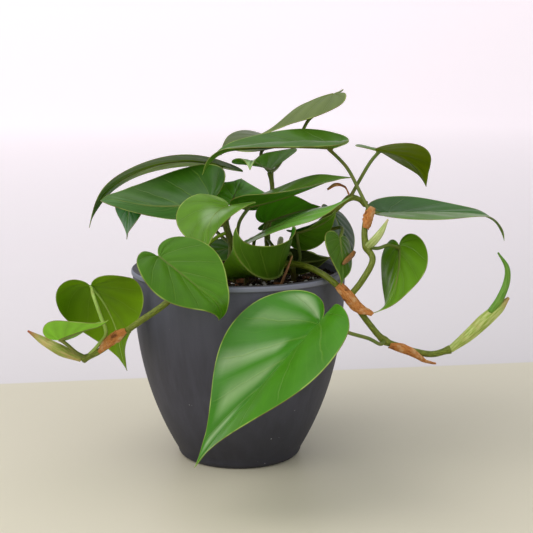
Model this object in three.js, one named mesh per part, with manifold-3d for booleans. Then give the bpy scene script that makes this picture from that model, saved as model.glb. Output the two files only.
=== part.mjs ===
// A heartleaf philodendron in its charcoal pot: leaves on long stalks, vines that trail over the rim,
// papery sheaths at their joints, and dark potting soil.
// Millimetres, +Z up. The origin is the middle of the pot's base, and -Y is the front.
import * as THREE from "three";
import { mergeVertices } from "three/addons/utils/BufferGeometryUtils.js";
import Module from "manifold-3d";

const wasm = await Module();
wasm.setup();

// Pot
const POT_HEIGHT = 107.5;
const POT_RIM_RADIUS = 60;
const POT_MOUTH_RADIUS = 55.5;
const POT_TAPER = 25;
const POT_CURVE = 2.45;
const POT_WALL = 3.2;
const POT_FLOOR = 4;
const POT_FOOT_ROUND = 4;
const FOOT_STEPS = 3;
const WALL_STEPS = 4;
const POT_SEGMENTS = 40;
const LIP_HEIGHT = 3.6;
const LIP_STEP = 0.8;
const LIP_EDGE = 1;
const DRAIN_HOLE_RADIUS = 4;
const DRAIN_HOLE_CIRCLE = 18;
const DRAIN_HOLES = 4;

// Soil
const SOIL_TOP = 101.5;
const SOIL_RELIEF = 0.9;
const SOIL_RINGS = [44, 33, 22, 11, 0];
const SOIL_HOLE_DEPTH = 14;
const SOIL_HOLE_SIDES = 12;
const SOIL_HOLE_SLACK = 0.5;
const STICK_HOLE_SLACK = 1.1;
const GAP = 0.3;

// Leaves and vines
const BLADE_THICKNESS = 0.75;
const BLADE_STEP = 6;
const LEAST_BLADE_ROWS = 9;
const BLADE_COLUMNS = 2;
const STALK_RADIUS = 1.1;
const STALK_SIDES = 5;
const SHOOT_SIDES = 7;
const STALK_END = 0.3;
const STALK_END_RADIUS = 0.5;
const KEEL_DEPTH = 0.5;
const VINE_QUARTER_SIDES = 2;
const VINE_STEP = 8;
const ROD_STEP = 7;
const JOINT_SWELLING = 1.25;
const SHEATH_THICKNESS = 0.8;
const LEAST_EDGE = 0.02;

const COLORS = {
  pot: "#3d4148",
  soil: "#2b2019",
  vine: "#5a6a22",
  sheath: "#a9683a",
  shoot: "#9dbb52",
  front: "#3f8f22",
  deep: "#2c6a2a",
  pale: "#7f9a5c",
  yellow: "#5c8a1e",
  shade: "#2c4a16",
};
const ROUGHNESS = { pot: 0.62, soil: 0.95, leaf: 0.38, vine: 0.5, sheath: 0.8, shoot: 0.5 };

const point = (x, y, z) => new THREE.Vector3(x, y, z);
const points = (list) => list.map((p) => point(...p));
const radians = THREE.MathUtils.degToRad;
const plant = new THREE.Group();

function addMesh(name, solid, color, roughness) {
  const material = new THREE.MeshStandardMaterial({ color, roughness, metalness: 0 });
  const mesh = new THREE.Mesh(toGeometry(solid.simplify(LEAST_EDGE)), material);
  mesh.name = name;
  plant.add(mesh);
}

function toSolid(geometry) {
  const bare = geometry.index ? geometry.toNonIndexed() : geometry.clone();
  bare.deleteAttribute("normal");
  bare.deleteAttribute("uv");
  const merged = mergeVertices(bare, 1e-4);
  return new wasm.Manifold(
    new wasm.Mesh({
      numProp: 3,
      vertProperties: merged.attributes.position.array,
      triVerts: new Uint32Array(merged.index.array),
    }),
  );
}

function toGeometry(solid) {
  const mesh = solid.getMesh();
  const geometry = new THREE.BufferGeometry();
  geometry.setAttribute("position", new THREE.BufferAttribute(mesh.vertProperties, 3));
  geometry.setIndex(new THREE.BufferAttribute(mesh.triVerts, 1));
  geometry.computeVertexNormals();
  return geometry;
}

// A closed surface from corner points and faces, each face a list of three corner numbers.
function surface(corners, faces) {
  const geometry = new THREE.BufferGeometry().setFromPoints(corners);
  geometry.setIndex(faces.flat());
  return geometry;
}

// The value at a share of the way along a list of evenly spaced values.
function valueAlong(values, share) {
  const place = share * (values.length - 1);
  const k = Math.min(Math.floor(place), values.length - 2);
  return THREE.MathUtils.lerp(values[k], values[k + 1], place - k);
}

// A tapering rod along a smooth curve. Its section is a regular polygon with one radius for each
// point of the path, and flat ends.
function rod(path, radii, sides) {
  const curve = new THREE.CatmullRomCurve3(path, false, "centripetal");
  const steps = Math.ceil(curve.getLength() / ROD_STEP) + 1;
  const centres = curve.getPoints(steps);
  const across = point(0.3, 0.2, 1);
  const corners = [];
  const faces = [];
  centres.forEach((centre, i) => {
    const ahead = centres[Math.min(i + 1, steps)].clone().sub(centres[Math.max(i - 1, 0)]).normalize();
    across.addScaledVector(ahead, -across.dot(ahead)).normalize();
    const up = ahead.clone().cross(across);
    const radius = valueAlong(radii, i / steps);
    for (let k = 0; k < sides; k++) {
      const angle = (2 * Math.PI * k) / sides;
      const corner = centre.clone().addScaledVector(across, radius * Math.cos(angle));
      corners.push(corner.addScaledVector(up, radius * Math.sin(angle)));
    }
  });
  for (let i = 0; i < steps; i++) {
    for (let k = 0; k < sides; k++) {
      const a = i * sides + k;
      const b = i * sides + ((k + 1) % sides);
      faces.push([a, b, b + sides], [a, b + sides, a + sides]);
    }
  }
  const last = steps * sides;
  for (let k = 1; k < sides - 1; k++) faces.push([0, k + 1, k], [last, last + k, last + k + 1]);
  return toSolid(surface(corners, faces));
}

// A sheet of even thickness on a grid of points, with a keel of extra depth under its middle
// column. Rows run forward, columns run to the right, and points may coincide.
function sheet(grid, thickness, keel = 0) {
  const columns = grid[0].length;
  const raw = [];
  for (let i = 0; i < grid.length - 1; i++) {
    for (let j = 0; j < columns - 1; j++) {
      const a = i * columns + j;
      const c = a + columns;
      if (j < (columns - 1) / 2) raw.push([a, a + 1, c], [a + 1, c + 1, c]);
      else raw.push([a, a + 1, c + 1], [a, c + 1, c]);
    }
  }
  const merged = mergeVertices(surface(grid.flat(), raw), 1e-4);
  const index = merged.index.array;
  const place = merged.attributes.position;
  const middle = Array.from({ length: place.count }, (_, k) => point().fromBufferAttribute(place, k));
  const normals = middle.map(() => point(0, 0, 0));
  const faces = [];
  for (let k = 0; k < index.length; k += 3) {
    const face = [index[k], index[k + 1], index[k + 2]];
    if (new Set(face).size < 3) continue;
    faces.push(face);
    const [a, b, c] = face.map((v) => middle[v]);
    const normal = b.clone().sub(a).cross(c.clone().sub(a));
    face.forEach((v) => normals[v].add(normal));
  }
  normals.forEach((normal) => normal.normalize());
  const count = middle.length;
  const spine = grid.map((row) => row[(columns - 1) / 2]);
  const onSpine = (p) => spine.some((q) => q.distanceTo(p) < 1e-3);
  const upper = middle.map((p, k) => p.clone().addScaledVector(normals[k], thickness / 2));
  const lower = middle.map((p, k) =>
    p.clone().addScaledVector(normals[k], -thickness / 2 - (keel && onSpine(p) ? keel : 0)),
  );
  const edges = new Set(faces.flatMap(([a, b, c]) => [`${a} ${b}`, `${b} ${c}`, `${c} ${a}`]));
  const all = [];
  for (const [a, b, c] of faces) {
    all.push([a, b, c], [a + count, c + count, b + count]);
    for (const [from, to] of [[a, b], [b, c], [c, a]]) {
      if (edges.has(`${to} ${from}`)) continue;
      all.push([to, from, from + count], [to, from + count, to + count]);
    }
  }
  return toSolid(surface([...upper, ...lower], all));
}

// Half of a heart leaf's outline, as Bezier curves through points (across, along): the round lobe
// behind the stalk, the long side, and the drip tip. Across is in half widths, along in lengths.
const LOBE = [[0, 0], [0.1, -0.2], [1, -0.22], [1, 0.19]];
const SIDE = [[1, 0.19], [1, 0.5], [0.46, 0.68], [0.19, 0.83]];
const TIP = [[0.19, 0.83], [0.1, 0.9], [0.03, 0.96], [0, 1]];
const LOBE_END = 0.42;
const SIDE_END = 0.83;
const LOBE_REACH = -0.26;

function outline(t) {
  const along = (curve, from, to) => {
    const [p, q, r, s] = curve.map(([x, y]) => new THREE.Vector2(x, y));
    return new THREE.CubicBezierCurve(p, q, r, s).getPoint((t - from) / (to - from));
  };
  if (t <= LOBE_END) return along(LOBE, 0, LOBE_END);
  if (t <= SIDE_END) return along(SIDE, LOBE_END, SIDE_END);
  return along(TIP, SIDE_END, 1);
}

// How far along the midrib the side vein leaves that reaches the outline at t: the first veins
// fan out from the stalk, and the rest leave one after another.
const VEIN_FAN_END = 0.3;
const veinRoot = (t) => Math.max(0, (t - VEIN_FAN_END) / (1 - VEIN_FAN_END)) ** 1.6;

// Angles in degrees. Heading is the compass direction of the midrib from +X towards +Y, pitch is
// its rise and roll lowers the right side. Droop bends the midrib down over its length and curl
// over its last part, bend turns it right and twist lowers the right side towards the tip. Fold
// lifts each half from the midrib, cup curves it on upwards, and lobe lifts the lobes.
const LEAF_AT_REST = {
  roll: 0, droop: 0, curl: 0, bend: 0, twist: 0, lobe: 0,
  foldLeft: 0, foldRight: 0, cupLeft: 0, cupRight: 0, stalkRunsOn: true,
};
const CURL_START = 0.7;
const LOBE_BEND_LENGTH = 0.2;
const FRAME_STEP = 0.02;

// The midrib as frames from the lobes' ends to the tip, each with its place along, its point and
// the directions forward, right and up.
function midribFrames(leaf) {
  const turn = (a, b, angle) => {
    const before = a.clone();
    a.multiplyScalar(Math.cos(angle)).addScaledVector(b, Math.sin(angle));
    b.multiplyScalar(Math.cos(angle)).addScaledVector(before, -Math.sin(angle));
  };
  const heading = radians(leaf.heading);
  const pitch = radians(leaf.pitch);
  const level = Math.cos(pitch);
  const forward = point(level * Math.cos(heading), level * Math.sin(heading), Math.sin(pitch));
  const right = point(Math.sin(heading), -Math.cos(heading), 0);
  const up = right.clone().cross(forward);
  turn(up, right, radians(leaf.roll));
  const start = { along: 0, at: point(...leaf.base), forward, right, up };
  const copy = (f) => ({
    along: f.along,
    at: f.at.clone(),
    forward: f.forward.clone(),
    right: f.right.clone(),
    up: f.up.clone(),
  });
  const frames = [start];
  let frame = copy(start);
  for (let k = 0; k < Math.round(-LOBE_REACH / FRAME_STEP); k++) {
    turn(frame.forward, frame.up, radians((-leaf.lobe * FRAME_STEP) / LOBE_BEND_LENGTH));
    frame.at.addScaledVector(frame.forward, -FRAME_STEP * leaf.length);
    frame.along -= FRAME_STEP;
    frames.unshift(copy(frame));
  }
  frame = copy(start);
  for (let k = 0; k < Math.round(1 / FRAME_STEP); k++) {
    const curling = frame.along > CURL_START ? leaf.curl / (1 - CURL_START) : 0;
    turn(frame.forward, frame.up, radians(-(leaf.droop + curling) * FRAME_STEP));
    turn(frame.forward, frame.right, radians(leaf.bend * FRAME_STEP));
    turn(frame.right, frame.up, radians(-leaf.twist * FRAME_STEP));
    frame.at.addScaledVector(frame.forward, FRAME_STEP * leaf.length);
    frame.along += FRAME_STEP;
    frames.push(copy(frame));
  }
  return frames;
}

// The point of the blade's middle surface at (across, along), and the upward direction there.
function onBlade(leaf, frames, across, along) {
  const place = (along - frames[0].along) / FRAME_STEP;
  const k = Math.min(Math.max(Math.floor(place), 0), frames.length - 2);
  const mix = (key) => frames[k][key].clone().lerp(frames[k + 1][key], place - k);
  const right = mix("right").normalize();
  const up = mix("up").normalize();
  const side = Math.sign(across);
  const reach = Math.abs(across);
  const fold = radians(side > 0 ? leaf.foldRight : leaf.foldLeft);
  const cup = radians(side > 0 ? leaf.cupRight : leaf.cupLeft) || 1e-4;
  const out = ((Math.sin(fold + cup * reach) - Math.sin(fold)) / cup) * (leaf.width / 2);
  const rise = ((Math.cos(fold) - Math.cos(fold + cup * reach)) / cup) * (leaf.width / 2);
  const at = mix("at").addScaledVector(right, side * out).addScaledVector(up, rise);
  return { at, up };
}

function bladeGrid(leaf, frames, rows, columns) {
  const grid = [];
  for (let i = 0; i <= rows; i++) {
    const t = i / rows;
    const edge = outline(t);
    const root = veinRoot(t);
    const row = [];
    for (let j = -columns; j <= columns; j++) {
      const share = Math.abs(j) / columns;
      const along = THREE.MathUtils.lerp(root, edge.y, share);
      row.push(onBlade(leaf, frames, (Math.sign(j) * edge.x * Math.abs(j)) / columns, along).at);
    }
    grid.push(row);
  }
  return grid;
}

// A round stem along a smooth curve, with a swelling at each of its joints.
function stemSolid(path, joints, radius) {
  const curve = new THREE.CatmullRomCurve3(points(path), false, "centripetal");
  const section = new THREE.Shape();
  section.absarc(0, 0, radius, 0, 2 * Math.PI);
  const stem = toSolid(
    new THREE.ExtrudeGeometry(section, {
      extrudePath: curve,
      steps: Math.ceil(curve.getLength() / VINE_STEP),
      curveSegments: 2 * VINE_QUARTER_SIDES,
      bevelEnabled: false,
    }),
  );
  return joints.reduce((solid, at) => {
    const knot = new THREE.SphereGeometry(radius * JOINT_SWELLING, 7, 5);
    return solid.add(toSolid(knot.translate(...at)));
  }, stem);
}

function vineSolid({ path, joints, radius, branch, branchJoints }, extra = 0) {
  const main = stemSolid(path, joints, radius + extra);
  return branch ? main.add(stemSolid(branch, branchJoints, radius + extra)) : main;
}

function bladeSolid(leaf, extra = 0) {
  const rows = Math.max(LEAST_BLADE_ROWS, Math.ceil(leaf.length / BLADE_STEP));
  const grid = bladeGrid(leaf, midribFrames(leaf), rows, BLADE_COLUMNS);
  return sheet(grid, BLADE_THICKNESS + 2 * extra, KEEL_DEPTH);
}

// A leaf in one piece: its blade, and its stalk, which most often runs on under the blade as the
// midrib.
function leafSolid(leaf) {
  const frames = midribFrames(leaf);
  const below = (along, depth) => {
    const { at, up } = onBlade(leaf, frames, 0, along);
    return at.addScaledVector(up, -depth);
  };
  const path = [...points(leaf.stalkPath), below(0.02, STALK_RADIUS * 0.7)];
  const radii = path.map(() => STALK_RADIUS);
  if (leaf.stalkRunsOn) {
    path.push(below(STALK_END, 0.6));
    radii.push(STALK_END_RADIUS);
  }
  const stalk = rod(path, radii, STALK_SIDES);
  return bladeSolid(leaf).add(stalk).subtract(vineSolid(VINES[leaf.vine], GAP));
}

// A papery sheath: a curved sheet round a path, thinnest where its wrap ends.
function sheathSolid({ vine, facing, path, radius, wrap }) {
  const curve = new THREE.CatmullRomCurve3(points(path), false, "centripetal");
  const rows = (path.length - 1) * 2;
  const grid = curve.getPoints(rows).map((centre, i) => {
    const reach = valueAlong(radius, i / rows);
    const half = radians(valueAlong(wrap, i / rows));
    const ahead = curve.getTangent(i / rows);
    const outward = point(...facing);
    outward.addScaledVector(ahead, -outward.dot(ahead)).normalize();
    const right = ahead.clone().cross(outward);
    return [-1, -0.5, 0, 0.5, 1].map((k) => {
      const corner = centre.clone().addScaledVector(outward, reach * Math.cos(k * half));
      return corner.addScaledVector(right, reach * Math.sin(k * half));
    });
  });
  return sheet(grid, SHEATH_THICKNESS).subtract(vineSolid(VINES[vine], GAP));
}

// A shoot: a tapering rod that starts at its vine, beside another shoot or on a leaf's blade.
function shootSolid({ vine, beside, blade, path, radii }) {
  let solid = rod(points(path), radii, SHOOT_SIDES);
  if (vine) solid = solid.subtract(vineSolid(VINES[vine], GAP));
  if (beside) {
    const other = SHOOTS[beside];
    solid = solid.subtract(rod(points(other.path), other.radii.map((r) => r + GAP), SHOOT_SIDES));
  }
  if (blade) solid = solid.subtract(bladeSolid({ ...LEAF_AT_REST, ...LEAVES[blade] }, GAP));
  return solid;
}

// The pot's outer radius at a height: nearly upright at the rim, curving in to the foot.
function potRadius(height) {
  const down = (POT_HEIGHT - height) / (POT_HEIGHT - POT_FOOT_ROUND);
  return POT_RIM_RADIUS - LIP_STEP - (POT_TAPER - LIP_STEP) * down ** POT_CURVE;
}

function potSolid() {
  const profile = [[0, 0]];
  const foot = potRadius(POT_FOOT_ROUND) - POT_FOOT_ROUND;
  for (let k = 0; k < FOOT_STEPS; k++) {
    const angle = (k / FOOT_STEPS) * (Math.PI / 2);
    profile.push([foot + POT_FOOT_ROUND * Math.sin(angle), POT_FOOT_ROUND * (1 - Math.cos(angle))]);
  }
  const wallTop = POT_HEIGHT - LIP_HEIGHT;
  for (let k = 0; k <= WALL_STEPS; k++) {
    const height = POT_FOOT_ROUND + ((wallTop - POT_FOOT_ROUND) * k) / WALL_STEPS;
    profile.push([potRadius(height), height]);
  }
  profile.push([POT_RIM_RADIUS, wallTop + LIP_STEP], [POT_RIM_RADIUS, POT_HEIGHT - LIP_EDGE]);
  profile.push([POT_RIM_RADIUS - LIP_EDGE, POT_HEIGHT], [POT_MOUTH_RADIUS + LIP_EDGE, POT_HEIGHT]);
  profile.push([POT_MOUTH_RADIUS, POT_HEIGHT - LIP_EDGE]);
  for (const height of INSIDE_HEIGHTS) profile.push([insideRadius(height), height]);
  profile.push([0, POT_FLOOR]);
  const shape = profile.map(([x, y]) => new THREE.Vector2(x, y));
  const body = toSolid(new THREE.LatheGeometry(shape, POT_SEGMENTS).rotateX(Math.PI / 2));
  return drainHoles().reduce((solid, hole) => solid.subtract(hole), body);
}

// The inside of the pot follows its outside, one wall in.
const INSIDE_HEIGHTS = [96, 70, 40, 18, POT_FLOOR];
function insideRadius(height) {
  return potRadius(Math.max(height, POT_FOOT_ROUND)) - POT_WALL;
}

function drainHoles() {
  return Array.from({ length: DRAIN_HOLES }, (_, k) => {
    const angle = ((k + 0.5) * 2 * Math.PI) / DRAIN_HOLES;
    const hole = new THREE.CylinderGeometry(DRAIN_HOLE_RADIUS, DRAIN_HOLE_RADIUS, 3 * POT_FLOOR, 16);
    hole.rotateX(Math.PI / 2);
    hole.translate(DRAIN_HOLE_CIRCLE * Math.cos(angle), DRAIN_HOLE_CIRCLE * Math.sin(angle), POT_FLOOR / 2);
    return toSolid(hole);
  });
}

// The soil fills the pot. Its top rises and falls a little, and each vine stands in a plain hole.
function soilSolid() {
  const profile = [[0, POT_FLOOR + GAP]];
  for (const height of INSIDE_HEIGHTS.toReversed()) {
    profile.push([insideRadius(height) - GAP, Math.max(height, POT_FLOOR + GAP)]);
  }
  profile.push([POT_MOUTH_RADIUS - GAP, SOIL_TOP]);
  for (const radius of SOIL_RINGS) profile.push([radius, SOIL_TOP]);
  const shape = profile.map(([x, y]) => new THREE.Vector2(x, y));
  const fill = new THREE.LatheGeometry(shape, POT_SEGMENTS / 2).rotateX(Math.PI / 2);
  const place = fill.attributes.position;
  for (let k = 0; k < place.count; k++) {
    const [x, y] = [place.getX(k), place.getY(k)];
    const inside = SOIL_TOP - place.getZ(k) < 1e-3 && Math.hypot(x, y) < POT_MOUTH_RADIUS - 1;
    if (inside) place.setZ(k, SOIL_TOP + SOIL_RELIEF * Math.sin(x / 6 + 1) * Math.cos(y / 7));
  }
  const standing = Object.values(VINES).map(({ path, radius }) => [path[0], radius + SOIL_HOLE_SLACK]);
  const stick = SHOOTS.stick_in_soil;
  standing.push([stick.path[0], stick.radii[0] + STICK_HOLE_SLACK]);
  return standing.reduce((solid, [[x, y], radius]) => {
    const hole = new THREE.CylinderGeometry(radius, radius, SOIL_HOLE_DEPTH * 2, SOIL_HOLE_SIDES);
    return solid.subtract(toSolid(hole.rotateX(Math.PI / 2).translate(x, y, SOIL_TOP)));
  }, toSolid(fill));
}

// Vines. Those that stand in the soil start in a straight hole.
const VINES = {
  stem_left_trail: {
    radius: 1.8,
    path: [[-21, -30, 90], [-21, -30, 98], [-21, -30, 105], [-22, -38, 111], [-25, -50, 113],
      [-29, -58, 108], [-38, -59, 99], [-52, -58, 89], [-62, -54, 81], [-74, -48, 71], [-83, -45, 66]],
    joints: [[-62, -54, 81], [-83, -45, 66]],
  },
  stem_right_trail: {
    radius: 1.8,
    path: [[14, -22, 90], [14, -22, 104], [19, -23, 110], [27, -27, 113.5], [36, -34, 113.5],
      [46, -41, 109.5], [53, -44, 104], [60, -45, 97], [68, -47, 86], [77, -48, 76], [85, -49, 73],
      [94, -49, 70], [103, -48, 68.5], [112, -48, 71]],
    joints: [[58, -45, 99], [77, -48, 76], [112, -48, 71]],
    branch: [[58, -45, 99], [65, -42, 107], [71, -38, 118], [68, -34, 124], [67, -32, 130],
      [68, -29, 137], [70, -26, 142]],
    branchJoints: [[68, -34, 124], [70, -26, 142]],
  },
  stem_right_tall: {
    radius: 1.5,
    path: [[32, -4, 90], [32, -4, 104], [35, -6, 118], [40, -8, 128], [46, -8, 134], [54, -9, 141],
      [61, -9, 147], [66, -7, 146], [70, -6, 143]],
    joints: [[46, -8, 134], [61, -9, 147], [70, -6, 143]],
  },
  stem_center_left: {
    radius: 2,
    path: [[-3, -12, 90], [-3, -12, 104], [-4, -14, 114], [-4, -14, 122], [-6, -13, 129], [-8, -12, 136]],
    joints: [[-4, -14, 114], [-8, -12, 136]],
  },
  stem_center: {
    radius: 1.5,
    path: [[4, -20, 90], [4, -20, 104], [4, -20, 112]],
    joints: [[4, -20, 112]],
  },
  stem_center_tall: {
    radius: 1.4,
    path: [[16, 4, 90], [16, 4, 104], [16, 6, 122], [18.5, 13, 140], [19, 16, 150], [18, 18, 158]],
    joints: [[16, 6, 122], [18, 18, 158]],
  },
  stem_center_low: {
    radius: 1.6,
    path: [[30, -15, 90], [30, -15, 104], [29, -16, 110]],
    joints: [[29, -16, 110]],
  },
  stem_back_trail: {
    radius: 1.7,
    path: [[24, 26, 90], [24, 26, 98], [24, 26, 105], [24, 36, 111], [25, 50, 114], [25, 60, 112],
      [24, 66, 104], [20, 68, 92], [14, 68, 80], [8, 67, 68]],
    joints: [[24, 66, 104], [14, 68, 80], [8, 67, 68]],
  },
};

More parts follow.
